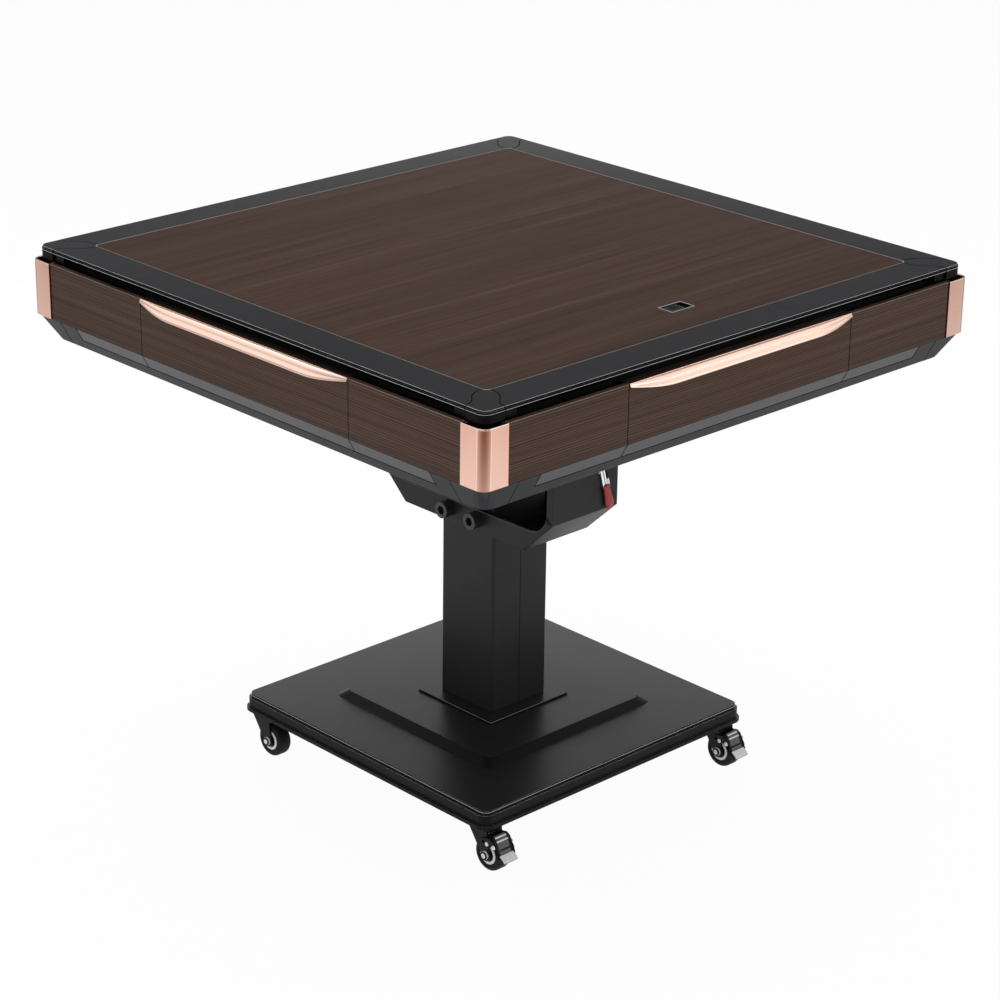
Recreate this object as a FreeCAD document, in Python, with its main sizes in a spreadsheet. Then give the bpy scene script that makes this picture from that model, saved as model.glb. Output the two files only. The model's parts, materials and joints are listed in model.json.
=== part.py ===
"""Automatic mahjong table: a square head with four drawers, tilting on a column with a wheeled base.

Millimetres. +Z is up, the origin is on the floor under the middle of the table. The front is the -Y side,
and "out" in the comments is the distance from the middle of the table to a side.
"""
import FreeCAD, Part
import math
import os
import re

import Sketcher

doc = FreeCAD.newDocument("mahjong_table")
sheet = doc.addObject("Spreadsheet::Sheet", "dims")

# Driving dimensions, by sub-assembly
SIZES = {
    # Clearances
    "rest_gap": 0.3,             # between flat faces that slide or rest
    "fit": 0.05,                 # radial, in a running bore
    "seam": 0.9,                 # between neighbouring trim pieces
    "cover_gap": 0.5,            # between the cover and the top frame
    "overrun": 5,                # by which a cutting tool passes the face it cuts
    # Heights of the head
    "table_height": 771,
    "frame_depth": 19.5,
    "fascia_height": 79.5,
    "skirt_height": 35,
    "pan_depth": 62,
    # Base
    "base_width": 514,
    "base_low": 68,
    "base_height": 26,
    "base_wall": 2,
    "base_corner": 15,
    "lip_reach": 3.5,
    "lip_height": 5,
    "step_inset": 3.5,
    "step_height": 6,
    "plinth_low_width": 329,
    "plinth_slope": 12,
    "plinth_height": 9,
    "plinth_corner": 26,
    "foot_width": 154,
    "foot_thick": 3,
    "base_rail_width": 44,
    "base_cross_place": 60,
    "base_cross_width": 30,
    # Column
    "tube_width": 100,
    "tube_wall": 4,
    "tube_rise": 42,             # above the cradle's underside
    "shroud_gap": 2,
    "shroud_wall": 1.5,
    "shroud_corner": 4,
    # Cradle
    "cradle_gap": 30,            # below the pan
    "cradle_fold_rise": 53,
    "cradle_height": 162,
    "cradle_slope": 57,
    "cradle_width": 358,
    "cradle_length": 126,
    "cradle_wall": 4,
    "end_sill": 33,
    "end_upstand": 12,
    "end_round": 35,
    "bolt_pitch": 58,
    "bolt_rise": 19,
    "bolt_radius": 8,
    "bolt_head_radius": 12,
    "bolt_head_length": 16,
    "hex_width": 12,
    "hex_depth": 8,
    # Hinge of the head
    "hinge_place": 70,
    "hinge_drop": 15,            # below the pan
    "hinge_radius": 8,
    "ear_radius": 14,
    "ear_length": 44,
    "eye_radius": 13,
    "hinge_plate_setback": 32,
    "hinge_plate_thick": 6,
    "pin_overhang": 5,
    # Latch
    "latch_place": 27,
    "latch_drop": 38,            # below the cradle's top
    "latch_radius": 6,
    "keeper_rise": 40,
    "keeper_radius": 5,
    "hook_setback": 62,
    "hook_thick": 6,
    "hook_width": 8,
    "hook_play": 1,
    "latch_swing": 24,
    "lug_thick": 4,
    "lug_gap": 9,
    "lug_width": 20,
    "lever_width": 17,
    "lever_thick": 4,
    "lever_length": 37,
    "lever_lean": 15,
    "grip_length": 36,
    "grip_width": 15,
    "grip_flare": 20,
    "grip_thick": 10,
    # Casters
    "caster_inset": 24,
    "caster_offset": 15,
    "caster_plate_width": 44,
    "caster_plate_thick": 3,
    "race_radius": 15,
    "race_height": 4,
    "kingpin_radius": 4.5,
    "kingpin_head_radius": 7,
    "kingpin_head_thick": 2,
    "crown_thick": 3,
    "crown_width": 34,
    "leg_thick": 2,
    "wheel_radius": 25,
    "wheel_width": 22,
    "wheel_gap": 1.5,
    "tread_depth": 6,
    "tread_shoulder": 4,
    "hub_dish": 2,
    "hub_ring_radius": 13.5,
    "hub_boss_radius": 8,
    "axle_radius": 4,
    "axle_head_radius": 6,
    "axle_head_thick": 4,
    "axle_boss_radius": 9,
    "pedal_pivot_out": 13,
    "pedal_pivot_height": 46,
    "pedal_pin_radius": 2.5,
    "pedal_cheek_thick": 2,
    "pedal_cheek_radius": 6,
    "pedal_gap": 1.5,
    "pedal_thick": 3,
    "pedal_toe": 9,
    # Frame of the head
    "channel": 25,
    "channel_wall": 2.5,
    "ring_setback": 31,
    "beam_setback": 194,
    "keeper_beam_place": 52,
    "post_width": 48,
    "cheek_reveal": 5,
    "cheek_thick": 3,
    "cheek_short": 8,
    "guide_wall": 5,
    "guide_rise": 25,
    "guide_neck": 32,            # above the ring
    "hub_plate_width": 120,
    "hub_plate_thick": 6,
    "collar_radius": 38,
    "stand_width": 20,
    # Pan
    "pan_wall": 2,
    "pan_slope": 84,
    "pan_flange": 31,
    "pan_mouth_front": 96,
    "pan_mouth_rear": 72,
    "pan_mouth_setback": 19,
    # Skirt, fascia and corner caps
    "skirt_top_width": 912,      # over the fascias too
    "skirt_slope": 20,
    "skirt_corner": 22,
    "skirt_wall": 4,
    "skirt_corner_leg": 60,
    "strip_setback": 36,
    "strip_height": 19,
    "strip_depth": 12,
    "fascia_thick": 8,
    "cap_proud": 1.5,
    "cap_leg": 41,
    "cap_wall": 3,
    "cap_corner": 13,
    # Top frame and play board
    "frame_setback": 6,
    "frame_corner": 13,
    "rim_step": 1.5,
    "rim_step_height": 2.5,
    "rim_height": 6,
    "rim_reach": 16,
    "corner_drop": 17,
    "end_block": 22,
    "end_block_inset": 3,
    "corner_neck": 9,
    "corner_bend": 13,
    "corner_flare": 22,
    "corner_slant": 18,
    "board_thick": 12,
    "felt_thick": 1.4,
    # Dining cover
    "cover_setback": 53.5,
    "cover_thick": 16.3,
    "cover_corner": 10,
    "bead_width": 2,
    "bezel_length": 43,
    "bezel_width": 27,
    "bezel_setback": 72.5,
    "bezel_shift": 12,           # of the pull from the middle of its side
    "bezel_depth": 10,
    "bezel_rim": 4,
    "bezel_floor": 1.5,
    "flap_share": 0.64,          # of the bezel's opening that the flap covers
    "flap_thick": 3,
    "flap_pin_radius": 1.2,
    # Drawers
    "drawer_width": 422,
    "tray_reveal": 8,
    "tray_rise": 4,
    "tray_drop": 26.5,
    "tray_wall": 2.5,
    "tray_depth": 126,
    "carrier_thick": 3,
    "carrier_reveal": 3,
    "carrier_drop": 13.5,
    "handle_reach": 13,
    "handle_end_reach": 3,
    "handle_height": 13,
    "handle_end_height": 7,
    "handle_taper": 72,
    "runner_height": 25,
    "runner_rise": 14,
    "runner_short": 16,
    # Tile lifts
    "slot_inset": 36,
    "slot_width": 35,
    "slot_lap": 8,               # over the trays
    "lift_web": 4,
    "lift_frame_width": 28,
    "lift_frame_rise": 18,
    "lift_frame_thick": 6,
    "lift_blade_thick": 13,
    # Console
    "console_radius": 90,
    "console_gap": 2,
    "console_drop": 13,
    "console_thick": 20,
    "stem_radius": 20,
    "stem_rise": 15,
    "dome_radius": 48,
    "dome_rise": 5.5,
    "button_radius": 8,
    "button_place": 68,
    "button_rise": 3,
    "button_height": 7,
    "button_well": 10,
    "button_gap": 0.3,
    # Tile drum and its drive
    "drum_setback": 216,
    "drum_rise": 4,
    "drum_thick": 4,
    "drum_rim_height": 14,
    "drum_rim_wall": 6,
    "drum_hub_radius": 40,
    "drum_hub_height": 20,
    "roller_radius": 22,
    "roller_height": 12,
    "roller_lift": 4,
    "roller_shaft_radius": 6,
    "roller_shaft_length": 34,
    "roller_nip": 0.3,
    "motor_radius": 30,
    "motor_length": 57,
    "motor_plate_width": 70,
    "motor_plate_thick": 3,
    # Electrics
    "box_length": 140,
    "box_width": 150,
    "box_height": 50,
    "box_setback": 90,
    "inlet_place_x": 130,
    "inlet_setback": 60,
    "inlet_length": 72,
    "inlet_width": 34,
    "inlet_height": 27,
    "inlet_flange": 2,
    "inlet_margin": 4,
    "inlet_reach": 30,           # of the mounting plate past the inlet, all round
    "inlet_lap": 8,              # of that plate under the pan
    "socket_length": 27,
    "socket_width": 20,
    "socket_depth": 16,
    "socket_shift": 16,
    "rocker_length": 24,
    "rocker_width": 15,
    "rocker_depth": 10,
    "rocker_shift": 17,
    "rocker_pin_radius": 1.5,
    "rocker_crown": 2,
}
# Sizes worked out from those above
DERIVED = {
    "fascia_top": "table_height - frame_depth",
    "fascia_low": "fascia_top - fascia_height",
    "skirt_low": "fascia_low - skirt_height",
    "pan_low": "skirt_low - pan_depth",
    "cradle_top": "pan_low - cradle_gap",
    "cradle_low": "cradle_top - cradle_height",
    "cradle_fold": "cradle_low + cradle_fold_rise",
    "hinge_height": "pan_low - hinge_drop",
    "latch_height": "cradle_top - latch_drop",
    "guide_low": "pan_low + guide_rise",
    "guide_top": "skirt_low + skirt_wall + pan_wall + channel + guide_neck",
    "drum_low": "skirt_low + skirt_wall + pan_wall + channel + drum_rise",
    "lift_frame_low": "drum_low + lift_frame_rise",
    "console_low": "table_height - cover_thick - rest_gap - felt_thick - board_thick - console_drop",
    "stem_low": "pan_low + stem_rise",
    "tray_low": "fascia_low + tray_rise",
    "tray_high": "fascia_top - tray_drop",
    "carrier_top": "fascia_top - carrier_drop",
    "runner_low": "tray_low + runner_rise",
    "plinth_top_width": "plinth_low_width - 2 * plinth_slope",
    "caster_pitch": "base_width - 2 * caster_inset",
    "shroud_width": "tube_width + 2 * shroud_wall + 2 * shroud_gap",
    "cradle_floor_width": "cradle_width - 2 * cradle_slope",
    "hinge_plate_place": "cradle_width / 2 - hinge_plate_setback",
    "hook_place": "cradle_width / 2 - hook_setback",
    "pan_mouth_width": "cradle_width - 2 * pan_mouth_setback",
    "ring_width": "skirt_top_width - 2 * ring_setback",
    "pan_top_width": "ring_width - 2 * pan_flange",
    "pan_low_width": "pan_top_width - 2 * pan_slope",
    "beam_place": "skirt_top_width / 2 - beam_setback",
    "skirt_low_width": "skirt_top_width - 2 * skirt_slope",
    "skirt_corner_place": "skirt_top_width / 2 - skirt_corner_leg",
    "strip_place": "skirt_corner_place - strip_setback",
    "cap_width": "skirt_top_width + 2 * cap_proud",
    "frame_width": "skirt_top_width - 2 * frame_setback",
    "board_width": "frame_width - 2 * rim_reach",
    "cover_width": "frame_width - 2 * cover_setback",
    "bezel_place": "cover_width / 2 - bezel_setback",
    "cheek_place": "drawer_width / 2 + cheek_reveal",
    "tray_width": "drawer_width - 2 * tray_reveal",
    "carrier_width": "drawer_width - 2 * carrier_reveal",
    "slot_length": "drawer_width - 2 * slot_inset",
    "cheek_depth": "tray_depth - cheek_short",
    "runner_depth": "tray_depth - runner_short",
    "slot_place": "skirt_top_width / 2 - fascia_thick - tray_depth + slot_lap",
    "drum_radius": "skirt_top_width / 2 - drum_setback",
    "box_place": "pan_low_width / 2 - box_setback",
    "inlet_place_y": "pan_low_width / 2 - inlet_setback",
}
FOLD_SHARE = 0.414               # how far an inner corner moves along a wall folded at about 45 degrees

CELLS = {**SIZES, **DERIVED}
for row, (alias, size) in enumerate(CELLS.items(), start=1):
    sheet.set(f"A{row}", f"={size}")
    sheet.setAlias(f"A{row}", alias)
doc.recompute()

NODES = []
SIDES = {"front": 0, "right": 90, "rear": 180, "left": 270}
CORNERS = {"front_left": ("-", "-"), "front_right": ("", "-"), "rear_left": ("-", ""), "rear_right": ("", "")}
PLANES = {"x": "YZ_Plane", "y": "XZ_Plane", "z": "XY_Plane"}
TURNS = {
    "x": FreeCAD.Rotation(FreeCAD.Vector(0, 1, 0), 90),
    "y": FreeCAD.Rotation(FreeCAD.Vector(1, 0, 0), -90),
    "z": FreeCAD.Rotation(),
}

# Levels and places that several pieces share, worked out from the driving dimensions
BASE_TOP = "(base_low + base_height)"
PLINTH_TOP = "(base_low + base_height + plinth_height)"
FOOT_TOP = "(base_low + base_height + plinth_height + foot_thick)"
COVER_LOW = "(table_height - cover_thick)"
FELT_TOP = "(table_height - cover_thick - rest_gap)"
BOARD_TOP = "(table_height - cover_thick - rest_gap - felt_thick)"
BOARD_LOW = "(table_height - cover_thick - rest_gap - felt_thick - board_thick)"
PAN_TOP = "(skirt_low + skirt_wall - 1 * rest_gap)"
RING_LOW = "(skirt_low + skirt_wall + pan_wall)"
RING_TOP = "(skirt_low + skirt_wall + pan_wall + channel)"
FASCIA_OUT = "(skirt_top_width / 2)"
FASCIA_BACK = "(skirt_top_width / 2 - fascia_thick)"
FRAME_IN = "(cover_width / 2 + cover_gap)"
CAP_EDGE = "(cap_width / 2 - cap_leg)"
CHAMFER_SHARE = "((skirt_top_width - skirt_low_width) / 2 / (fascia_low - skirt_low))"
STRIP_LOW = "(fascia_low - strip_height)"
WALL_OUT = "(cradle_width / 2)"
WALL_IN = "(cradle_width / 2 - cradle_wall)"
LATCH_LEAN = "(lever_lean * 1 deg)"
ROLLER_PLACE = "((drum_radius + roller_radius + roller_nip) * sqrt(0.5))"


def cells(text):
    """Write each dimension's name in an expression as a reference to its cell."""
    return re.sub(r"[a-z_][a-z_0-9]*", lambda m: "dims." + m[0] if m[0] in CELLS else m[0], text)


def bind(item, prop, text):
    """Bind one property of an object to an expression on the sheet."""
    item.setExpression(prop, cells(text))


def place(item, x="0", y="0", z="0", turn=0):
    """Turn an object about the vertical axis and bind its place."""
    item.Placement = FreeCAD.Placement(FreeCAD.Vector(), FreeCAD.Rotation(FreeCAD.Vector(0, 0, 1), turn))
    for axis, text in zip("xyz", (x, y, z)):
        if text != "0":
            bind(item, f"Placement.Base.{axis}", text)
    return item


def slab(name, xs, ys, zs):
    """Make a box from the two ends of each of its sides."""
    box = doc.addObject("Part::Box", name)
    for prop, axis, (low, high) in zip(("Length", "Width", "Height"), "xyz", (xs, ys, zs)):
        bind(box, prop, f"({high}) - ({low})")
        bind(box, f"Placement.Base.{axis}", low)
    return box


def about(middle, size):
    """Give the two ends of a side of a given size about its middle."""
    return (f"{middle} - {size} / 2", f"{middle} + {size} / 2")


def rod(name, radius, axis, centre, span):
    """Make a round bar along an axis; centre is its place on the two other axes, span its ends."""
    bar = doc.addObject("Part::Cylinder", name)
    bar.Placement = FreeCAD.Placement(FreeCAD.Vector(), TURNS[axis])
    bind(bar, "Radius", radius)
    bind(bar, "Height", f"({span[1]}) - ({span[0]})")
    bind(bar, f"Placement.Base.{axis}", span[0])
    for other, text in zip([a for a in "xyz" if a != axis], centre):
        bind(bar, f"Placement.Base.{other}", text)
    return bar


def combine(kind, name, first, others):
    """Make a cut or an intersection of the first object with the others."""
    tool = others[0] if len(others) == 1 else fuse(name + "_tools", *others)
    result = doc.addObject(kind, name)
    result.Base = first
    result.Tool = tool
    return result


def cut(name, first, *tools):
    """Take the tools away from an object."""
    return combine("Part::Cut", name, first, tools)


def common(name, first, *tools):
    """Keep what an object shares with the tools."""
    return combine("Part::Common", name, first, tools)


def fuse(name, *pieces):
    """Join pieces into one solid."""
    joined = doc.addObject("Part::MultiFuse", name)
    joined.Shapes = list(pieces)
    joined.Refine = True
    return joined


def group(name, *pieces):
    """Keep separate solids together as one object."""
    bundle = doc.addObject("Part::Compound", name)
    bundle.Links = list(pieces)
    return bundle


def node(label, item):
    """Name a finished sub-part and list it for export."""
    item.Label = label
    NODES.append(item)
    return item


def sketched_body(name, axis, points, start):
    """Start a body with a closed outline on a plane square to an axis, moved to where it starts."""
    body = doc.addObject("PartDesign::Body", name)
    sketch = body.newObject("Sketcher::SketchObject", name + "_outline")
    plane = next(f for f in body.Origin.OriginFeatures if f.Role == PLANES[axis])
    sketch.AttachmentSupport = [(plane, "")]
    sketch.MapMode = "FlatFace"
    bind(sketch, ".AttachmentOffset.Base.z", start)
    count = len(points)
    turns = [math.tau * i / count for i in range(count)]
    ring = [FreeCAD.Vector(math.cos(turn), math.sin(turn)) for turn in turns]
    for i in range(count):
        sketch.addGeometry(Part.LineSegment(ring[i], ring[(i + 1) % count]), False)
    for i in range(count):
        sketch.addConstraint(Sketcher.Constraint("Coincident", i, 2, (i + 1) % count, 1))
    for i, point in enumerate(points):
        for kind, spot, text in zip(("DistanceX", "DistanceY"), ring[i], point):
            number = sketch.addConstraint(Sketcher.Constraint(kind, -1, 1, i, 1, spot))
            bind(sketch, f"Constraints[{number}]", text)
    return body, sketch


def rising_edges(shape, axis, spots=None):
    """List the edges that run more or less along an axis, at the given spots of the outline."""
    along = "xyz".index(axis)
    names = []
    for number, edge in enumerate(shape.Edges, start=1):
        low, high = sorted((v.Point for v in edge.Vertexes), key=lambda p: p[along])
        if high[along] - low[along] < edge.Length / 3:
            continue
        across = [low[i] for i in range(3) if i != along]
        if spots is None or any(math.dist(across, spot) < 0.01 for spot in spots):
            names.append(f"Edge{number}")
    return names


def prism(name, axis, points, span, rounds=None, taper=None):
    """Pad an outline along an axis; rounds gives a fillet radius to some of its corners, or "all" of them.

    The outline's coordinates are the two other axes, in the order x, y, z.
    """
    start = f"-({span[1]})" if axis == "y" else span[0]
    body, sketch = sketched_body(name, axis, points, start)
    pad = body.newObject("PartDesign::Pad", name + "_pad")
    pad.Profile = sketch
    bind(pad, "Length", f"({span[1]}) - ({span[0]})")
    if taper:
        bind(pad, "TaperAngle", taper)
    doc.recompute()
    for corners, radius in (rounds or {}).items():
        spots = None
        if corners != "all":
            spots = [tuple(sketch.Geometry[i].StartPoint)[:2] for i in corners]
        tip = body.Tip
        fillet = body.newObject("PartDesign::Fillet", name + "_rounds")
        fillet.Base = (tip, rising_edges(tip.Shape, axis, spots))
        bind(fillet, "Radius", radius)
        doc.recompute()
    return body


def plate(name, half_x, half_y, zs, corner=None, taper=None):
    """Pad a rectangle centred on the origin, with rounded corners and a taper where they are given."""
    points = [(f"-({half_x})", f"-({half_y})"), (half_x, f"-({half_y})"),
              (half_x, half_y), (f"-({half_x})", half_y)]
    return prism(name, "z", points, zs, {"all": corner} if corner else None, taper)


def square(name, half, zs, corner=None, taper=None):
    """Pad a square centred on the origin."""
    return plate(name, half, half, zs, corner, taper)


def lathe(name, axis, points):
    """Turn an outline about an axis through the origin; its points are (place along the axis, radius)."""
    order = [(r, a) for a, r in points] if axis == "z" else list(points)
    plane = "y" if axis != "y" else "x"
    body, sketch = sketched_body(name, plane, order, "0")
    turned = body.newObject("PartDesign::Revolution", name + "_turned")
    turned.Profile = sketch
    turned.ReferenceAxis = (sketch, ["V_Axis" if axis == "z" else "H_Axis"])
    turned.Angle = 360
    doc.recompute()
    return body


def corner_blocks(name, edge, far, zs):
    """Make four upright blocks that reach from an edge out to beyond the table's corners."""
    blocks = []
    for corner, (sx, sy) in CORNERS.items():
        xs = (edge, far) if sx == "" else (f"-({far})", f"-({edge})")
        ys = (edge, far) if sy == "" else (f"-({far})", f"-({edge})")
        blocks.append(slab(f"{name}_{corner}", xs, ys, zs))
    return blocks


def four_sides(name, make):
    """Make a piece for the front and the same piece for each other side."""
    pieces = []
    for side, angle in SIDES.items():
        pieces.append(place(make(f"{name}_{side}"), turn=angle))
    return pieces


def make_base():
    """Sheet-steel base: a lipped box with a stepped top edge and a raised plinth, over a steel frame."""
    zs = ("base_low", f"{BASE_TOP} - step_height")
    shell = fuse(
        "base_outside",
        square("base_lip", "base_width / 2 + lip_reach", ("base_low", "base_low + lip_height"),
               "base_corner + lip_reach"),
        square("base_skirt", "base_width / 2", zs, "base_corner"),
        square("base_step", "base_width / 2 - step_inset", (zs[1], BASE_TOP), "base_corner - step_inset"),
        square("plinth", "plinth_low_width / 2", (BASE_TOP, PLINTH_TOP), "plinth_corner",
               "-atan((plinth_low_width - plinth_top_width) / 2 / plinth_height)"),
    )
    hollow = square("base_hollow", "base_width / 2 - base_wall - step_inset",
                    ("base_low - overrun", f"{BASE_TOP} - base_wall"), "base_corner - base_wall - step_inset")
    pocket = square("plinth_hollow", "plinth_top_width / 2 - 2 * base_wall",
                    ("base_low", f"{PLINTH_TOP} - base_wall"), "plinth_corner - 2 * base_wall")
    node("base_shell", cut("base_shell", shell, hollow, pocket))

    level = ("base_low", f"{BASE_TOP} - base_wall")
    reach = "(base_width / 2 - base_wall - step_inset - rest_gap)"
    inner = "(caster_pitch / 2 - base_rail_width / 2)"
    rails = []
    for name, sign in (("front", "-"), ("rear", "")):
        rails.append(slab(f"base_rail_{name}", (f"-{reach}", reach),
                          about(f"{sign}caster_pitch / 2", "base_rail_width"), level))
    for name, sign in (("left", "-"), ("right", "")):
        rails.append(slab(f"base_cross_{name}", about(f"{sign}base_cross_place", "base_cross_width"),
                          (f"-{inner}", inner), level))
    pad = square("base_pad", "foot_width / 2", (level[1], f"{PLINTH_TOP} - base_wall"))
    corner = "(base_corner - base_wall - step_inset)"
    trim = square("base_frame_trim", reach, level, corner)
    node("base_frame", fuse("base_frame", common("base_rails", trim, fuse("base_rail_set", *rails)), pad))


def make_column():
    """Foot plate, welded square tube and the two folded shrouds that meet on the front and rear."""
    foot = square("foot_outside", "foot_width / 2", (PLINTH_TOP, FOOT_TOP))
    node("column_foot", foot)
    tube_top = "cradle_low + tube_rise"
    outside = square("tube_outside", "tube_width / 2", (FOOT_TOP, tube_top))
    bore = square("tube_bore", "tube_width / 2 - tube_wall",
                  (f"{FOOT_TOP} - overrun", f"{tube_top} + overrun"))
    holes = bolt_rods("tube_hole", "bolt_radius + fit", ("-tube_width / 2 - overrun", "0"))
    node("column_tube", cut("column_tube", outside, bore, *holes))
    level = (FOOT_TOP, "cradle_low")
    for side, sign, turn in (("left", "-", 0), ("right", "", 180)):
        skin = square(f"shroud_skin_{side}", "shroud_width / 2", level, "shroud_corner")
        core = square(f"shroud_core_{side}", "shroud_width / 2 - shroud_wall",
                      (f"{FOOT_TOP} - overrun", "cradle_low + overrun"), "shroud_corner - shroud_wall")
        half = slab(f"shroud_half_{side}", ("-seam / 2", "shroud_width"), ("-shroud_width", "shroud_width"),
                    (f"{FOOT_TOP} - overrun", "cradle_low + overrun"))
        shroud = cut(f"column_cover_{side}", skin, core, half)
        node(f"column_cover_{side}", place(shroud, turn=turn))


def bolt_rods(name, radius, span):
    """Make a pair of rods along X where the cradle bolts pass."""
    rods = []
    for side, sign in (("near", "-"), ("far", "")):
        centre = (f"{sign}bolt_pitch / 2", "cradle_low + bolt_rise")
        rods.append(rod(f"{name}_{side}", radius, "x", centre, span))
    return rods


def trough_points(inset):
    """Give the cradle's cross-section, moved in by a wall; the list starts at the low right."""
    floor_half = f"(cradle_floor_width / 2 - {FOLD_SHARE} * {inset})"
    wall_half = f"(cradle_width / 2 - {inset})"
    floor = f"(cradle_low + {inset})"
    fold = f"(cradle_fold + {FOLD_SHARE} * {inset})"
    top = f"(cradle_top + {inset})"
    right = [(floor_half, floor), (wall_half, fold), (wall_half, top)]
    return right + [(f"-{y}", z) for y, z in reversed(right)]


def make_cradle():
    """Folded steel trough on the column, with end plates, hinge ears and rest ears."""
    span = ("-cradle_length / 2", "cradle_length / 2")
    inner = ("-cradle_length / 2 + cradle_wall", "cradle_length / 2 - cradle_wall")
    trough = cut("trough", prism("trough_outside", "x", trough_points("0"), span),
                 prism("trough_inside", "x", trough_points("cradle_wall"), inner))
    notch_half = "(cradle_width / 2 - end_upstand)"
    sill = "(cradle_low + end_sill)"
    over = "(cradle_top + overrun)"
    notch = prism("end_notch", "x",
                  [(f"-{notch_half}", sill), (notch_half, sill), (notch_half, over), (f"-{notch_half}", over)],
                  ("-cradle_length / 2 - overrun", "cradle_length / 2 + overrun"), {(0, 1): "end_round"})
    ears = []
    tools = [notch, slab("tube_way", about("0", "(tube_width + 2 * rest_gap)"),
                         about("0", "(tube_width + 2 * rest_gap)"),
                         ("cradle_low - overrun", "cradle_low + cradle_wall + overrun"))]
    ear_low = "(cradle_top - ear_length)"
    rest_top = "(pan_low - rest_gap)"
    for side, wall in (("front", (f"-{WALL_OUT}", f"-{WALL_IN}")), ("rear", (WALL_IN, WALL_OUT))):
        ears.append(prism(f"hinge_ear_{side}", "y", [
            ("-cradle_length / 2", ear_low), ("0", ear_low), ("0", "cradle_top"),
            ("-hinge_place + ear_radius", "hinge_height"), ("-hinge_place - ear_radius", "hinge_height"),
        ], wall))
        ears.append(rod(f"hinge_boss_{side}", "ear_radius", "y", ("-hinge_place", "hinge_height"), wall))
        ears.append(prism(f"rest_ear_{side}", "y", [
            ("0", ear_low), ("cradle_length / 2", ear_low), ("cradle_length / 2", rest_top),
            ("cradle_length / 4", rest_top), ("0", "cradle_top"),
        ], wall))
    through = (f"-{WALL_OUT} - overrun", f"{WALL_OUT} + overrun")
    tools.append(rod("hinge_bore", "hinge_radius + fit", "y", ("-hinge_place", "hinge_height"), through))
    tools.append(rod("latch_bore", "latch_radius + fit", "y", ("latch_place", "latch_height"), through))
    tools += bolt_rods("cradle_hole", "bolt_radius + fit", ("-cradle_length / 2 - overrun", "0"))
    node("cradle", cut("cradle", fuse("cradle_body", trough, *ears), *tools))

    face = "-cradle_length / 2"
    shank_end = "-tube_width / 2 + tube_wall"
    heads = bolt_rods("bolt_head", "bolt_head_radius", (f"{face} - bolt_head_length", face))
    shanks = bolt_rods("bolt_shank", "bolt_radius", (face, shank_end))
    bolts = []
    for head, shank, sign in zip(heads, shanks, ("-", "")):
        socket = hexagon(f"{head.Name}_socket", f"{sign}bolt_pitch / 2", "(cradle_low + bolt_rise)",
                         (f"{face} - bolt_head_length - overrun", f"{face} - bolt_head_length + hex_depth"))
        bolts.append(cut(f"{head.Name}_bolt", fuse(f"{head.Name}_blank", head, shank), socket))
    node("cradle_bolts", group("cradle_bolts", *bolts))
    pin = rod("hinge_shaft", "hinge_radius", "y", ("-hinge_place", "hinge_height"),
              (f"-{WALL_OUT} - pin_overhang", f"{WALL_OUT} + pin_overhang"))
    node("hinge_shaft", pin)


def hexagon(name, y, z, span):
    """Make a hexagonal bar along X, as wide across its flats as the bolt's key."""
    points = []
    for corner in range(6):
        angle = f"({60 * corner} * 1 deg)"
        points.append((f"{y} + hex_width / sqrt(3) * cos{angle}", f"{z} + hex_width / sqrt(3) * sin{angle}"))
    return prism(name, "x", points, span)


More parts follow.
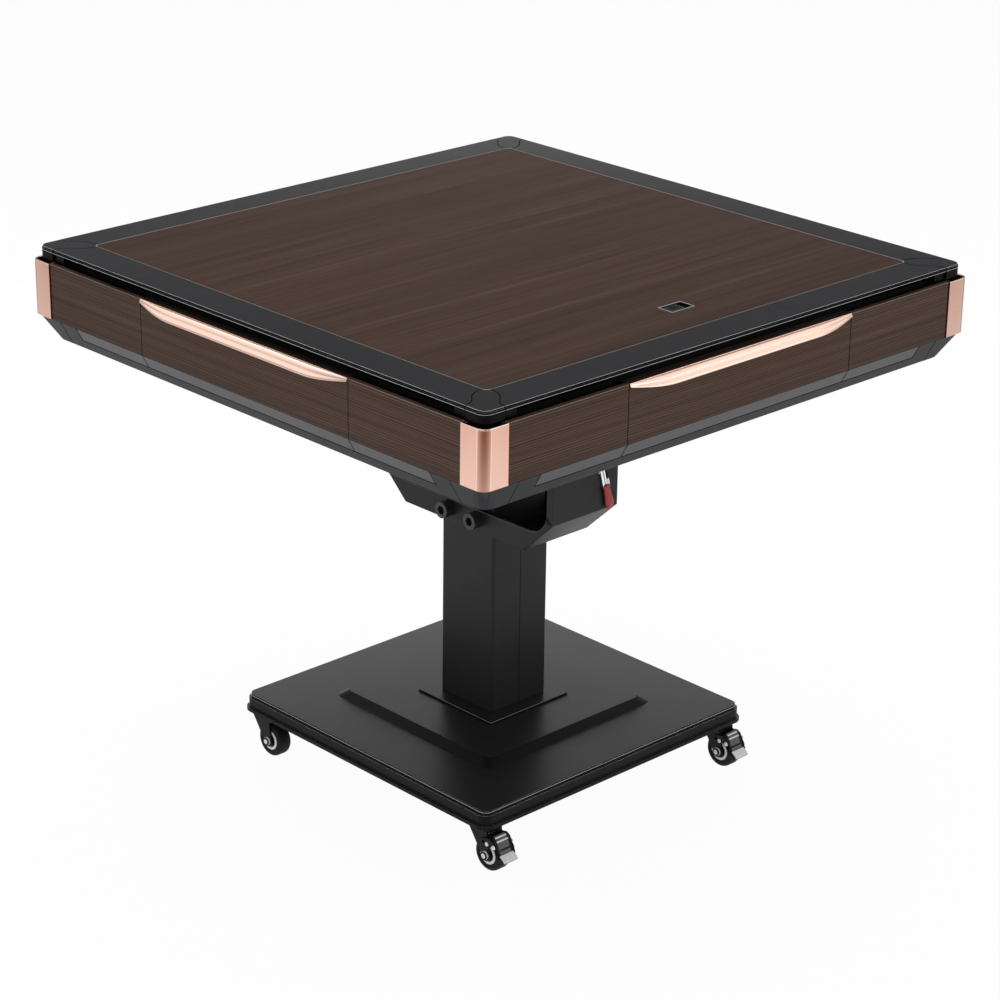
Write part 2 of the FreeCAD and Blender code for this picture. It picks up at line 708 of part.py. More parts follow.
def make_casters():
    """Four swivel casters; the two at the front have brake pedals."""
    plate_low = "(base_low - caster_plate_thick)"
    race_low = f"({plate_low} - race_height)"
    crown_top = f"({race_low} - rest_gap)"
    crown_low = f"({crown_top} - crown_thick)"
    head_top = f"({crown_low} - rest_gap)"
    leg_in = "(wheel_width / 2 + wheel_gap)"
    leg_out = f"({leg_in} + leg_thick)"
    wheel_at = ("-caster_offset", "wheel_radius")
    plates = []
    for corner, (sx, sy) in CORNERS.items():
        spot = (f"{sx}caster_pitch / 2", f"{sy}caster_pitch / 2")
        top = plate(f"caster_plate_{corner}", "caster_plate_width / 2", "caster_plate_width / 2",
                    (plate_low, "base_low"), "base_corner / 4")
        race = rod(f"race_{corner}", "race_radius", "z", ("0", "0"), (race_low, plate_low))
        kingpin = rod(f"kingpin_{corner}", "kingpin_radius", "z", ("0", "0"), (head_top, race_low))
        head = rod(f"kingpin_head_{corner}", "kingpin_head_radius", "z", ("0", "0"),
                   (f"{head_top} - kingpin_head_thick", head_top))
        plates.append(place(fuse(f"caster_mount_{corner}", top, race, kingpin, head), *spot))

        crown = plate(f"crown_{corner}", leg_out, "crown_width / 2", (crown_low, crown_top))
        parts = [crown]
        for side, xs in (("a", (f"-{leg_out}", f"-{leg_in}")), ("b", (leg_in, leg_out))):
            parts.append(prism(f"leg_{corner}_{side}", "x", [
                ("crown_width / 2", crown_top), ("-crown_width / 2", crown_top),
                ("-crown_width / 2", crown_low),
                ("-caster_offset - axle_boss_radius", "wheel_radius"),
                ("-caster_offset + axle_boss_radius", "wheel_radius"), ("crown_width / 2", crown_low),
            ], xs))
            parts.append(rod(f"leg_boss_{corner}_{side}", "axle_boss_radius", "x", wheel_at, xs))
        parts.append(rod(f"axle_{corner}", "axle_radius", "x", wheel_at, (f"-{leg_out}", leg_out)))
        parts.append(rod(f"axle_head_{corner}", "axle_head_radius", "x", wheel_at,
                         (f"-{leg_out} - axle_head_thick", f"-{leg_out}")))
        parts.append(rod(f"axle_nut_{corner}", "axle_head_radius", "x", wheel_at,
                         (leg_out, f"{leg_out} + axle_head_thick")))
        braked = corner.startswith("front")
        pivot = ("-pedal_pivot_out", "pedal_pivot_height")
        cheek_out = f"({leg_out} + rest_gap + pedal_cheek_thick)"
        if braked:
            parts.append(rod(f"pedal_pin_{corner}", "pedal_pin_radius", "x", pivot,
                             (f"-{cheek_out}", f"-{leg_in}")))
            parts.append(rod(f"pedal_pin_far_{corner}", "pedal_pin_radius", "x", pivot, (leg_in, cheek_out)))
        bore = rod(f"crown_bore_{corner}", "kingpin_radius + fit", "z", ("0", "0"),
                   (f"{crown_low} - overrun", f"{crown_top} + overrun"))
        fork = cut(f"caster_fork_{corner}", fuse(f"fork_blank_{corner}", *parts), bore)
        node(f"caster_fork_{corner}", place(fork, *spot))
        wheel_spot = (spot[0], f"{spot[1]} - caster_offset", "wheel_radius")
        node(f"caster_wheel_{corner}", place(make_wheel(corner), *wheel_spot))
        if braked:
            node(f"caster_pedal_{corner}", place(make_pedal(corner, leg_out, pivot), *spot))
    node("caster_plates", group("caster_plates", *plates))


def make_wheel(corner):
    """Tyre on a dished hub, about the X axis."""
    half = "(wheel_width / 2)"
    rim = "(wheel_radius - tread_depth)"
    tyre = lathe(f"tyre_{corner}", "x", [
        (f"-{half}", rim), (half, rim), (half, "wheel_radius - tread_shoulder"),
        (f"{half} - tread_shoulder", "wheel_radius"), (f"-{half} + tread_shoulder", "wheel_radius"),
        (f"-{half}", "wheel_radius - tread_shoulder"),
    ])
    face = f"({half} - hub_dish)"
    bore = "(axle_radius + fit)"
    hub = lathe(f"hub_{corner}", "x", [
        (f"-{half}", bore), (half, bore), (half, "hub_boss_radius"), (face, "hub_boss_radius"),
        (face, "hub_ring_radius"), (half, rim), (f"-{half}", rim), (f"-{face}", "hub_ring_radius"),
        (f"-{face}", "hub_boss_radius"), (f"-{half}", "hub_boss_radius"),
    ])
    return group(f"caster_wheel_{corner}", tyre, hub)


def make_pedal(corner, leg_out, pivot):
    """Brake pedal: two cheeks on the fork's pins and a tread plate that follows the tyre."""
    cheek_in = f"({leg_out} + rest_gap)"
    cheek_out = f"({cheek_in} + pedal_cheek_thick)"
    near = "(wheel_radius + pedal_gap)"
    far = "(wheel_radius + pedal_gap + pedal_thick)"
    centre = ("-caster_offset", "wheel_radius")
    sleeve = cut(f"pedal_sleeve_{corner}",
                 rod(f"pedal_outside_{corner}", far, "x", centre, (f"-{cheek_out}", cheek_out)),
                 rod(f"pedal_inside_{corner}", near, "x", centre,
                     (f"-{cheek_out} - overrun", f"{cheek_out} + overrun")))
    window = slab(f"pedal_window_{corner}", (f"-{cheek_out}", cheek_out),
                  (f"-caster_offset - {far}", "-caster_offset - wheel_radius / 3"),
                  ("wheel_radius + pedal_gap", f"wheel_radius + {far}"))
    tread = common(f"pedal_tread_{corner}", sleeve, window)
    toe = prism(f"pedal_toe_{corner}", "x", [
        (f"-caster_offset - {near}", "wheel_radius + pedal_toe"),
        (f"-caster_offset - {near} - pedal_toe", "wheel_radius - pedal_thick"),
        (f"-caster_offset - {near} - pedal_toe + pedal_thick", "wheel_radius - 2 * pedal_thick"),
        (f"-caster_offset - {near}", "wheel_radius - pedal_thick / 2"),
    ], (f"-{cheek_out}", cheek_out))
    pieces = [tread, toe]
    for side, xs in (("a", (f"-{cheek_out}", f"-{cheek_in}")), ("b", (cheek_in, cheek_out))):
        pieces.append(prism(f"pedal_cheek_{corner}_{side}", "x", [
            (f"{pivot[0]} + pedal_cheek_radius", pivot[1]), (pivot[0], f"{pivot[1]} + pedal_cheek_radius"),
            (f"-caster_offset - {near} * sin(45 * 1 deg)", f"wheel_radius + {far} * cos(45 * 1 deg)"),
            (f"-caster_offset - {far}", "wheel_radius + pedal_toe"),
            (f"-caster_offset - {near}", "wheel_radius"),
            (pivot[0], f"{pivot[1]} - pedal_cheek_radius"),
        ], xs))
    hole = rod(f"pedal_hole_{corner}", "pedal_pin_radius + fit", "x", pivot,
               (f"-{cheek_out} - overrun", f"{cheek_out} + overrun"))
    return cut(f"caster_pedal_{corner}", fuse(f"pedal_blank_{corner}", *pieces), hole)


def make_latch():
    """Latch shaft with two hooks, shown released, and its hand lever outside the front wall."""
    lean = FreeCAD.Rotation(FreeCAD.Vector(0, 1, 0), SIZES["latch_swing"])
    shaft_end = f"-{WALL_OUT} - rest_gap - lever_thick"
    shaft = rod("latch_bar", "latch_radius", "y", ("0", "0"), (shaft_end, f"{WALL_OUT} + pin_overhang"))
    pieces = [shaft]
    inner = "(keeper_radius + hook_play)"
    for side, ys in (("front", ("-hook_place - hook_thick", "-hook_place")),
                     ("rear", ("hook_place", "hook_place + hook_thick"))):
        arm = prism(f"hook_{side}", "y", [
            (inner, "-hook_width"), (f"{inner} + hook_width", "-hook_width"),
            (f"{inner} + hook_width", f"keeper_rise + {inner} + hook_width"),
            (f"-{inner}", f"keeper_rise + {inner} + hook_width"), (f"-{inner}", f"keeper_rise + {inner}"),
            (inner, f"keeper_rise + {inner}"),
        ], ys)
        web = slab(f"hook_web_{side}", ("0", f"{inner} + hook_width"), ys, ("-hook_width", "hook_width"))
        hook = fuse(f"hook_arm_{side}", arm, web)
        hook.Placement = FreeCAD.Placement(FreeCAD.Vector(), lean)
        pieces.append(hook)
    node("latch_shaft", place(fuse("latch_shaft", *pieces), "latch_place", "0", "latch_height"))

    down = FreeCAD.Rotation(FreeCAD.Vector(0, 1, 0), -SIZES["lever_lean"])
    ys = (shaft_end, f"-{WALL_OUT} - rest_gap")
    bar = prism("lever_bar", "y", [
        ("-lever_width / 2", "-lever_length"), ("lever_width / 2", "-lever_length"),
        ("lever_width / 2", "lever_width / 2"), ("-lever_width / 2", "lever_width / 2"),
    ], ys, {(2, 3): "lever_width / 3"})
    eye = rod("lever_eye", "latch_radius + fit", "y", ("0", "0"),
              (f"{ys[0]} - overrun", f"{ys[1]} + overrun"))
    lever = cut("latch_lever", bar, eye)
    grip = prism("latch_grip", "y", [
        ("-grip_width / 2", "-lever_length"), ("-grip_flare / 2", "-lever_length - grip_length"),
        ("grip_flare / 2", "-lever_length - grip_length"), ("grip_width / 2", "-lever_length"),
    ], (f"{ys[0]} - grip_thick / 2 + lever_thick / 2", ys[1]), {(1, 2): "grip_flare / 4"})
    for label, piece in (("latch_lever", lever), ("latch_grip", grip)):
        piece.Placement = FreeCAD.Placement(FreeCAD.Vector(), down)
        bind(piece, "Placement.Base.x", "latch_place")
        bind(piece, "Placement.Base.z", "latch_height")
        node(label, piece)


def channel_bar(name, run, along, across):
    """Make an inverted steel channel that runs along x or y between the ring's levels."""
    spans = {run: along, "y" if run == "x" else "x": across}
    bar = slab(name, spans["x"], spans["y"], (RING_LOW, RING_TOP))
    spans = {run: (f"{along[0]} - overrun", f"{along[1]} + overrun"),
             "y" if run == "x" else "x": (f"{across[0]} + channel_wall", f"{across[1]} - channel_wall")}
    hollow = slab(name + "_hollow", spans["x"], spans["y"],
                  (f"{RING_LOW} - overrun", f"{RING_TOP} - channel_wall"))
    return cut(name + "_channel", bar, hollow)


def make_frame_bars():
    """Channels of the head's frame: the outer ring and the beams across it."""
    ring_out = "(ring_width / 2)"
    ring_in = "(ring_width / 2 - channel)"
    beam_in = "(beam_place - channel / 2)"
    bars = []
    for name, low, high in (("low", f"-{ring_out}", f"-{ring_in}"), ("high", ring_in, ring_out)):
        bars.append(channel_bar(f"ring_x_{name}", "x", (f"-{ring_out}", ring_out), (low, high)))
        bars.append(channel_bar(f"ring_y_{name}", "y", (f"-{ring_in}", ring_in), (low, high)))
    for name, sign in (("front", "-"), ("rear", "")):
        bars.append(channel_bar(f"beam_{name}", "x", (f"-{ring_in}", ring_in),
                                about(f"{sign}beam_place", "channel")))
    for name, middle in (("hinge", "-hinge_place"), ("keeper", "keeper_beam_place")):
        bars.append(channel_bar(f"beam_{name}", "y", (f"-{beam_in}", beam_in), about(middle, "channel")))
    return bars


def make_posts_and_cheeks():
    """Square tube posts at the corners and a cheek plate on each side of each drawer."""
    post_out = FASCIA_BACK
    post_in = f"({FASCIA_BACK} - post_width)"
    posts = corner_blocks("post", post_in, post_out, ("fascia_low", BOARD_LOW))
    feet = corner_blocks("post_foot", post_in, "ring_width / 2", (RING_TOP, "fascia_low"))
    bores = corner_blocks("post_bore", f"{post_in} + cheek_thick", f"{post_out} - cheek_thick",
                          ("fascia_low + cheek_thick", f"{BOARD_LOW} + overrun"))
    pieces = [cut(f"{post.Name}_tube", fuse(f"{post.Name}_blank", post, foot), bore)
              for post, foot, bore in zip(posts, feet, bores)]
    for side, angle in SIDES.items():
        for hand, xs in (("a", ("-cheek_place - cheek_thick", "-cheek_place")),
                         ("b", ("cheek_place", "cheek_place + cheek_thick"))):
            cheek = prism(f"cheek_{side}_{hand}", "x", [
                (f"-{FASCIA_BACK}", "fascia_low"), ("-ring_width / 2", "fascia_low"),
                ("-ring_width / 2", RING_TOP), (f"-{FASCIA_BACK} + cheek_depth", RING_TOP),
                (f"-{FASCIA_BACK} + cheek_depth", BOARD_LOW), (f"-{FASCIA_BACK}", BOARD_LOW),
            ], xs)
            pieces.append(place(cheek, turn=angle))
    return pieces


def make_hinge_plates():
    """Hinge plates that hang from a beam, and keeper bars for the latch between their lugs."""
    pieces = []
    for side, sign in (("front", "-"), ("rear", "")):
        ys = about(f"{sign}(hinge_plate_place + hinge_plate_thick / 2)", "hinge_plate_thick")
        leg = prism(f"hinge_plate_{side}", "y", [
            ("-hinge_place - eye_radius", "hinge_height"), ("-hinge_place + eye_radius", "hinge_height"),
            ("-hinge_place + channel / 2", RING_LOW), ("-hinge_place - channel / 2", RING_LOW),
        ], ys)
        eye = rod(f"hinge_eye_{side}", "eye_radius", "y", ("-hinge_place", "hinge_height"), ys)
        bore = rod(f"hinge_eye_bore_{side}", "hinge_radius + fit", "y", ("-hinge_place", "hinge_height"),
                   (f"{ys[0]} - overrun", f"{ys[1]} + overrun"))
        pieces.append(cut(f"hinge_leg_{side}", fuse(f"hinge_leg_blank_{side}", leg, eye), bore))
        keeper_z = "(latch_height + keeper_rise)"
        middle = f"{sign}(hook_place + hook_thick / 2)"
        reach = "(hook_thick / 2 + lug_gap)"
        keeper = [rod(f"keeper_{side}", "keeper_radius", "y", ("latch_place", keeper_z),
                      (f"{middle} - {reach} - lug_thick", f"{middle} + {reach} + lug_thick"))]
        lugs = (("a", f"-{reach} - lug_thick", f"-{reach}"), ("b", reach, f"{reach} + lug_thick"))
        for hand, low, high in lugs:
            keeper.append(prism(f"lug_{side}_{hand}", "y", [
                ("latch_place - lug_width / 2", f"{keeper_z} - keeper_radius"),
                ("latch_place + lug_width / 2", f"{keeper_z} - keeper_radius"),
                ("keeper_beam_place + channel / 2", RING_LOW), ("keeper_beam_place - channel / 2", RING_LOW),
            ], (f"{middle} + {low}", f"{middle} + {high}")))
        pieces.append(fuse(f"keeper_set_{side}", *keeper))
    return pieces


def make_head_frame():
    """Welded frame of the head: channels, posts, cheeks, hinge plates, keepers and drum guide."""
    plate_z = (f"{RING_TOP} - hub_plate_thick", RING_TOP)
    hub = slab("hub_plate", ("-hinge_place + channel / 2", "keeper_beam_place - channel / 2"),
               about("0", "hub_plate_width"), plate_z)
    guide = rod("guide", "stem_radius + fit + guide_wall", "z", ("0", "0"), ("guide_low", "guide_top"))
    collar = rod("collar", "collar_radius", "z", ("0", "0"), (RING_TOP, "drum_low - rest_gap"))
    bore = rod("guide_bore", "stem_radius + fit", "z", ("0", "0"),
               ("guide_low - overrun", "guide_top + overrun"))
    motor_plate = slab("motor_plate", about(ROLLER_PLACE, "motor_plate_width"),
                       (f"{ROLLER_PLACE} - motor_plate_width / 2", "beam_place"),
                       (RING_TOP, f"{RING_TOP} + motor_plate_thick"))
    motor_bore = rod("motor_plate_bore", "roller_shaft_radius + rest_gap", "z", (ROLLER_PLACE, ROLLER_PLACE),
                     (f"{RING_TOP} - overrun", f"{RING_TOP} + motor_plate_thick + overrun"))
    pieces = [cut("drum_guide", fuse("drum_guide_blank", hub, guide, collar), bore),
              cut("motor_mount", motor_plate, motor_bore)]
    lift_out = "(slot_place + lift_web - slot_width / 2)"
    for corner, (sx, sy) in CORNERS.items():
        pieces.append(slab(f"lift_stand_{corner}",
                           about(f"{sx}({lift_out} - lift_frame_width / 2)", "stand_width"),
                           about(f"{sy}beam_place", "stand_width"), (RING_TOP, "lift_frame_low - rest_gap")))
    pieces += make_frame_bars() + make_posts_and_cheeks() + make_hinge_plates()
    node("head_frame", group("head_frame", *pieces))


def make_pan():
    """Bottom pan: a sheet tray with sloping sides and a mouth over the cradle."""
    flange_level = ("(skirt_low + skirt_wall)", RING_LOW)
    slope = "atan((pan_top_width - pan_low_width) / 2 / (skirt_low + skirt_wall + pan_wall - pan_low))"
    outside = square("pan_outside", "pan_low_width / 2", ("pan_low", RING_LOW), None, slope)
    inside = square("pan_inside", "pan_low_width / 2 - pan_wall",
                    ("pan_low + pan_wall", f"{RING_LOW} + overrun"), None, slope)
    flange = square("pan_flange", "ring_width / 2", flange_level)
    floor = ("pan_low - overrun", "pan_low + pan_wall + overrun")
    mouth = slab("pan_mouth", ("-pan_mouth_front", "pan_mouth_rear"), about("0", "pan_mouth_width"), floor)
    inlet = inlet_block("pan_inlet_mouth", "(inlet_lap - inlet_reach)", floor)
    node("bottom_pan", cut("bottom_pan", fuse("pan_blank", outside, flange), inside, mouth, inlet))


def inlet_block(name, inset, zs):
    """Make a block as large as the power inlet, less an inset all round, or more where it is negative."""
    return slab(name, about("inlet_place_x", f"(inlet_length - 2 * {inset})"),
                about("inlet_place_y", f"(inlet_width - 2 * {inset})"), zs)


def make_skirt():
    """Chamfered skirt: four rails and four corner pieces, cut back where the light strips lie."""
    taper = "atan((skirt_top_width - skirt_low_width) / 2 / (fascia_low - skirt_low))"
    rise = ("skirt_low", "fascia_low")
    keep = "(skirt_corner_place + seam)"
    tools = {}
    for piece in ("rails", "corners"):
        outside = square(f"skirt_outside_{piece}", "skirt_low_width / 2", rise, "skirt_corner", taper)
        inside = square(f"skirt_inside_{piece}", "skirt_low_width / 2 - skirt_wall",
                        ("skirt_low + skirt_wall", "fascia_low + overrun"), "skirt_corner - skirt_wall", taper)
        window = square(f"skirt_window_{piece}", "pan_top_width / 2 + rest_gap",
                        ("skirt_low - overrun", "fascia_low"))
        tools[piece] = cut(f"skirt_ring_{piece}", outside, inside, window)
    over = ("skirt_low - overrun", "fascia_low + overrun")
    blocks = corner_blocks("skirt_corner_block", keep, "skirt_top_width", over)
    node("skirt_corners", common("skirt_corners", tools["corners"], *blocks))
    gaps = corner_blocks("skirt_gap_block", "skirt_corner_place", "skirt_top_width", over)
    pockets = four_sides("strip_pocket", lambda name: group(name, slab(
        name + "_block", ("-strip_place - seam", "strip_place + seam"),
        ("-skirt_top_width / 2 - overrun", "-skirt_low_width / 2 + skirt_wall + strip_depth"),
        (f"{STRIP_LOW} - seam", "fascia_low + overrun"))))
    node("skirt_rails", cut("skirt_rails", tools["rails"], *gaps, *pockets))


def strip_points():
    """Give the section of the light strip below the fascia, in the plane across the front side."""
    foot = f"(skirt_top_width / 2 - strip_height * {CHAMFER_SHARE})"
    return [(f"-{FASCIA_OUT}", "fascia_low"), (f"-{FASCIA_OUT} + strip_depth", "fascia_low"),
            (f"-{foot} + strip_depth", STRIP_LOW), (f"-{foot}", STRIP_LOW)]


def make_fascia():
    """Fixed wood-grain fascia boards beside each drawer, each with its light strip."""
    pieces = []
    for hand, sign in (("a", -1), ("b", 1)):
        inner, outer, strip_end = "(drawer_width / 2)", f"({CAP_EDGE} - seam)", "strip_place"

        def ends(low, high):
            return (f"-{high}", f"-{low}") if sign < 0 else (low, high)

        pieces += four_sides(f"fascia_board_{hand}", lambda name: group(name, slab(
            name + "_board", ends(inner, outer), (f"-{FASCIA_OUT}", f"-{FASCIA_BACK}"),
            ("fascia_low", "fascia_top"))))
        pieces += four_sides(f"fascia_strip_{hand}", lambda name: group(name, prism(
            name + "_strip", "x", strip_points(), ends(inner, strip_end))))
    node("fascia_panels", group("fascia_panels", *pieces))


def make_corner_caps():
    """Four metal corner caps: a rounded skin with a return at the end of each leg."""
    level = ("fascia_low", "fascia_top")
    over = ("fascia_low - overrun", "fascia_top + overrun")
    ring = cut("cap_ring", square("cap_outside", "cap_width / 2", level, "cap_corner"),
               square("cap_inside", FASCIA_BACK, over))
    legs = common("cap_legs", ring, *corner_blocks("cap_block", CAP_EDGE, "cap_width", over))
    lining = cut("cap_lining",
                 square("cap_lining_outside", "cap_width / 2 - cap_wall", over, "cap_corner - cap_wall"),
                 square("cap_lining_inside", f"{FASCIA_BACK} - overrun", over))
    blocks = corner_blocks("cap_hollow_block", f"{CAP_EDGE} + cap_wall", "cap_width", over)
    tool = common("cap_hollow", lining, *blocks)
    node("corner_caps", cut("corner_caps", legs, tool))


def frame_corner_tool(name, corner, gap):
    """Cut shape of a frame corner seen from above: narrow at the cover, flaring to the outer edge."""
    sx, sy = CORNERS[corner]
    inner = f"({FRAME_IN} - corner_neck - {gap})"
    bend = f"({inner} + corner_bend / 4)"
    flare = f"({bend} + (corner_flare - corner_bend) / 2)"
    edge = f"({CAP_EDGE} - {gap})"
    far = "cap_width"
    half = [(FRAME_IN, inner), (f"({FRAME_IN} + corner_bend)", bend),
            (f"({FRAME_IN} + corner_flare)", flare),
            (f"({FRAME_IN} + corner_flare + corner_slant)", f"({flare} + corner_slant)"),
            ("frame_width / 2", edge), (far, edge)]
    path = [(inner, inner)] + half + [(far, far)] + [(b, a) for a, b in reversed(half)]
    turned = [(f"{sx}({x})", f"{sy}({y})") for x, y in path]
    return prism(name, "z", turned, (f"{BOARD_TOP} - overrun", "table_height + overrun"))


def make_top_frame():
    """Black top frame: four rails with a thin overhanging rim and four deeper corner pieces."""
    half = "frame_width / 2"
    web = "(frame_width / 2 - rim_reach)"
    rim_low = "(table_height - rim_height)"
    corner_low = "(table_height - corner_drop)"
    over = (f"{BOARD_TOP} - overrun", "table_height + overrun")
    for piece in ("rails", "corners"):
        low = rim_low if piece == "rails" else corner_low
        step_low = "(table_height - rim_step_height)"
        parts = [
            square(f"rim_{piece}", half, (low, step_low), "frame_corner"),
            square(f"rim_step_{piece}", "(frame_width / 2 - rim_step)", (step_low, "table_height"),
                   "frame_corner - rim_step"),
            square(f"web_{piece}", web, (BOARD_TOP, "table_height")),
        ]
        if piece == "rails":
            block_out = "(frame_width / 2 - end_block_inset)"
            parts += [common("end_blocks", square("end_block_ring", block_out, (corner_low, rim_low)),
                             fuse("end_block_bars", *end_block_bars()))]
        ring = cut(f"frame_ring_{piece}", fuse(f"frame_blank_{piece}", *parts),
                   square(f"frame_window_{piece}", FRAME_IN, over, "cover_corner + cover_gap"))
        if piece == "rails":
            tools = [frame_corner_tool(f"frame_gap_{c}", c, "seam") for c in CORNERS]
            node("top_frame_rails", cut("top_frame_rails", ring, *tools))
        else:
            tools = [frame_corner_tool(f"frame_keep_{c}", c, "0") for c in CORNERS]
            node("top_frame_corners", common("top_frame_corners", ring, *tools))


def end_block_bars():
    """Make bars that reach across the frame where the rails' end blocks stand beside each corner."""
    bars = []
    low, high = f"({CAP_EDGE} - end_block)", CAP_EDGE
    level = ("(table_height - corner_drop)", "(table_height - rim_height)")
    for name, ends in (("plus", (low, high)), ("minus", (f"-{high}", f"-{low}"))):
        bars.append(slab(f"end_bar_x_{name}", ends, about("0", "frame_width"), level))
        bars.append(slab(f"end_bar_y_{name}", about("0", "frame_width"), ends, level))
    return bars


def slot_tools(name, zs):
    """Make the four slot cutters of the tile lifts and the round cutter of the console."""
    slots = four_sides(name, lambda n: group(n, slab(
        n + "_slot", about("0", "slot_length"), about("-slot_place", "slot_width"), zs)))
    return slots + [rod(name + "_hole", "console_radius + console_gap", "z", ("0", "0"), zs)]


def make_play_board():
    """Play board and its felt, with the four tile slots and the console hole."""
    over = (f"{BOARD_LOW} - overrun", f"{FELT_TOP} + overrun")
    board = square("board_blank", "board_width / 2", (BOARD_LOW, BOARD_TOP))
    node("play_board", cut("play_board", board, *slot_tools("board", over)))
    felt = square("felt_blank", f"{FRAME_IN} - cover_gap", (BOARD_TOP, FELT_TOP), "cover_corner")
    node("play_felt", cut("play_felt", felt, *slot_tools("felt", over)))


def make_cover():
    """Lift-off dining cover with its edge bead, and the flush pull with its flap."""
    level = (COVER_LOW, "table_height")
    over = (f"{COVER_LOW} - overrun", "table_height + overrun")
    core_half = "(cover_width / 2 - bead_width)"
    well = slab("bezel_well", about("bezel_shift", "bezel_length"), about("-bezel_place", "bezel_width"),
                ("table_height - bezel_depth", "table_height + overrun"))
    board = square("cover_board", core_half, level, "cover_corner - bead_width")
    node("dining_cover", cut("dining_cover", board, well))
    bead = cut("cover_edge_trim", square("bead_outside", "cover_width / 2", level, "cover_corner"),
               square("bead_inside", core_half, over, "cover_corner - bead_width"))
    node("cover_edge_trim", bead)
    outside = slab("bezel_outside", about("bezel_shift", "bezel_length"), about("-bezel_place", "bezel_width"),
                   ("table_height - bezel_depth", "table_height"))
    opening_x = "(bezel_length - 2 * bezel_rim)"
    opening_y = "(bezel_width - 2 * bezel_rim)"
    opening = slab("bezel_opening", about("bezel_shift", opening_x), about("-bezel_place", opening_y),
                   ("table_height - bezel_depth + bezel_floor", "table_height + overrun"))
    flap_z = "(table_height - flap_thick / 2)"
    flap_y = f"(-bezel_place + {opening_y} / 2 - flap_thick / 2 - rest_gap)"
    flap_length = f"({opening_x} * flap_share)"
    flap_x = f"(bezel_shift - {opening_x} / 2 + rest_gap)"
    pin_ends = (f"{flap_x} - bezel_rim / 2", f"{flap_x} + {flap_length} + bezel_rim / 2")
    pin_way = rod("flap_pin_way", "flap_pin_radius + fit", "x", (flap_y, flap_z),
                  (f"{flap_x} - bezel_rim / 2 - rest_gap", f"{flap_x}"))
    post = slab("flap_post",
                (f"{flap_x} + {flap_length} + rest_gap", f"{flap_x} + {flap_length} + bezel_rim"),
                about("-bezel_place", opening_y),
                ("table_height - bezel_depth + bezel_floor / 2", "table_height - rest_gap"))
    post_way = rod("flap_post_way", "flap_pin_radius + fit", "x", (flap_y, flap_z),
                   (f"{flap_x} + {flap_length}", f"{flap_x} + {flap_length} + bezel_rim + overrun"))
    frame = fuse("bezel_frame", cut("bezel_shell", outside, opening), post)
    node("pull_bezel", cut("pull_bezel", frame, pin_way, post_way))
    leaf = slab("flap_leaf", (flap_x, f"{flap_x} + {flap_length}"),
                (f"-bezel_place - {opening_y} / 2 + rest_gap", flap_y),
                ("table_height - flap_thick", "table_height"))
    barrel = rod("flap_barrel", "flap_thick / 2", "x", (flap_y, flap_z),
                 (flap_x, f"{flap_x} + {flap_length}"))
    pin = rod("flap_pin", "flap_pin_radius", "x", (flap_y, flap_z), pin_ends)
    node("pull_flap", fuse("pull_flap", leaf, barrel, pin))


def make_drawers():
    """Four drawers: a tray on side runners, a wood-grain front with its light strip, and a bowed handle."""
    back = f"(-{FASCIA_BACK})"
    front_half = "(drawer_width / 2 - seam)"
    for side, angle in SIDES.items():
        depth_end = f"({back} + tray_depth)"
        outside = slab(f"tray_outside_{side}", about("0", "tray_width"), (back, depth_end),
                       ("tray_low", "tray_high"))
        inside = slab(f"tray_inside_{side}", about("0", "(tray_width - 2 * tray_wall)"),
                      (f"{back} + carrier_thick", f"{depth_end} - tray_wall"),
                      ("tray_low + tray_wall", "tray_high + overrun"))
        carrier = slab(f"carrier_{side}", about("0", "carrier_width"), (back, f"{back} + carrier_thick"),
                       ("fascia_low + overrun", "carrier_top"))
        tray = fuse(f"drawer_tray_{side}", cut(f"tray_{side}", outside, inside), carrier)
        node(f"drawer_tray_{side}", place(tray, turn=angle))
        board = slab(f"front_board_{side}", (f"-{front_half}", front_half), (f"-{FASCIA_OUT}", back),
                     ("fascia_low", "fascia_top"))
        strip = prism(f"front_strip_{side}", "x", strip_points(), (f"-{front_half}", front_half))
        node(f"drawer_front_{side}", place(group(f"drawer_front_{side}", board, strip), turn=angle))
        node(f"drawer_handle_{side}", place(make_handle(side, front_half), turn=angle))
    runners = []
    ys = (f"{back} + carrier_thick + rest_gap", f"{back} + carrier_thick + runner_depth")
    for hand, xs in (("a", ("-cheek_place", "-tray_width / 2 - rest_gap")),
                     ("b", ("tray_width / 2 + rest_gap", "cheek_place"))):
        runners += four_sides(f"runner_{hand}", lambda name: group(name, slab(
            name + "_bar", xs, ys, ("runner_low", "runner_low + runner_height"))))
    node("drawer_runners", group("drawer_runners", *runners))


def make_handle(side, half):
    """Handle along a drawer's top edge: bowed out in plan and deeper in its middle."""
    face = f"(-{FASCIA_OUT})"
    shoulder = f"({half} - handle_taper)"
    plan = prism(f"handle_plan_{side}", "z", [
        (f"-{half}", face), (f"-{half}", f"{face} - handle_end_reach"),
        (f"-{shoulder}", f"{face} - handle_reach"), (shoulder, f"{face} - handle_reach"),
        (half, f"{face} - handle_end_reach"), (half, face),
    ], ("fascia_top - handle_height", "fascia_top"))
    profile = prism(f"handle_profile_{side}", "y", [
        (f"-{half}", "fascia_top"), (f"-{half}", "fascia_top - handle_end_height"),
        (f"-{shoulder}", "fascia_top - handle_height"), (shoulder, "fascia_top - handle_height"),
        (half, "fascia_top - handle_end_height"), (half, "fascia_top"),
    ], (f"{face} - handle_reach - overrun", face))
    return common(f"drawer_handle_{side}", plan, profile)


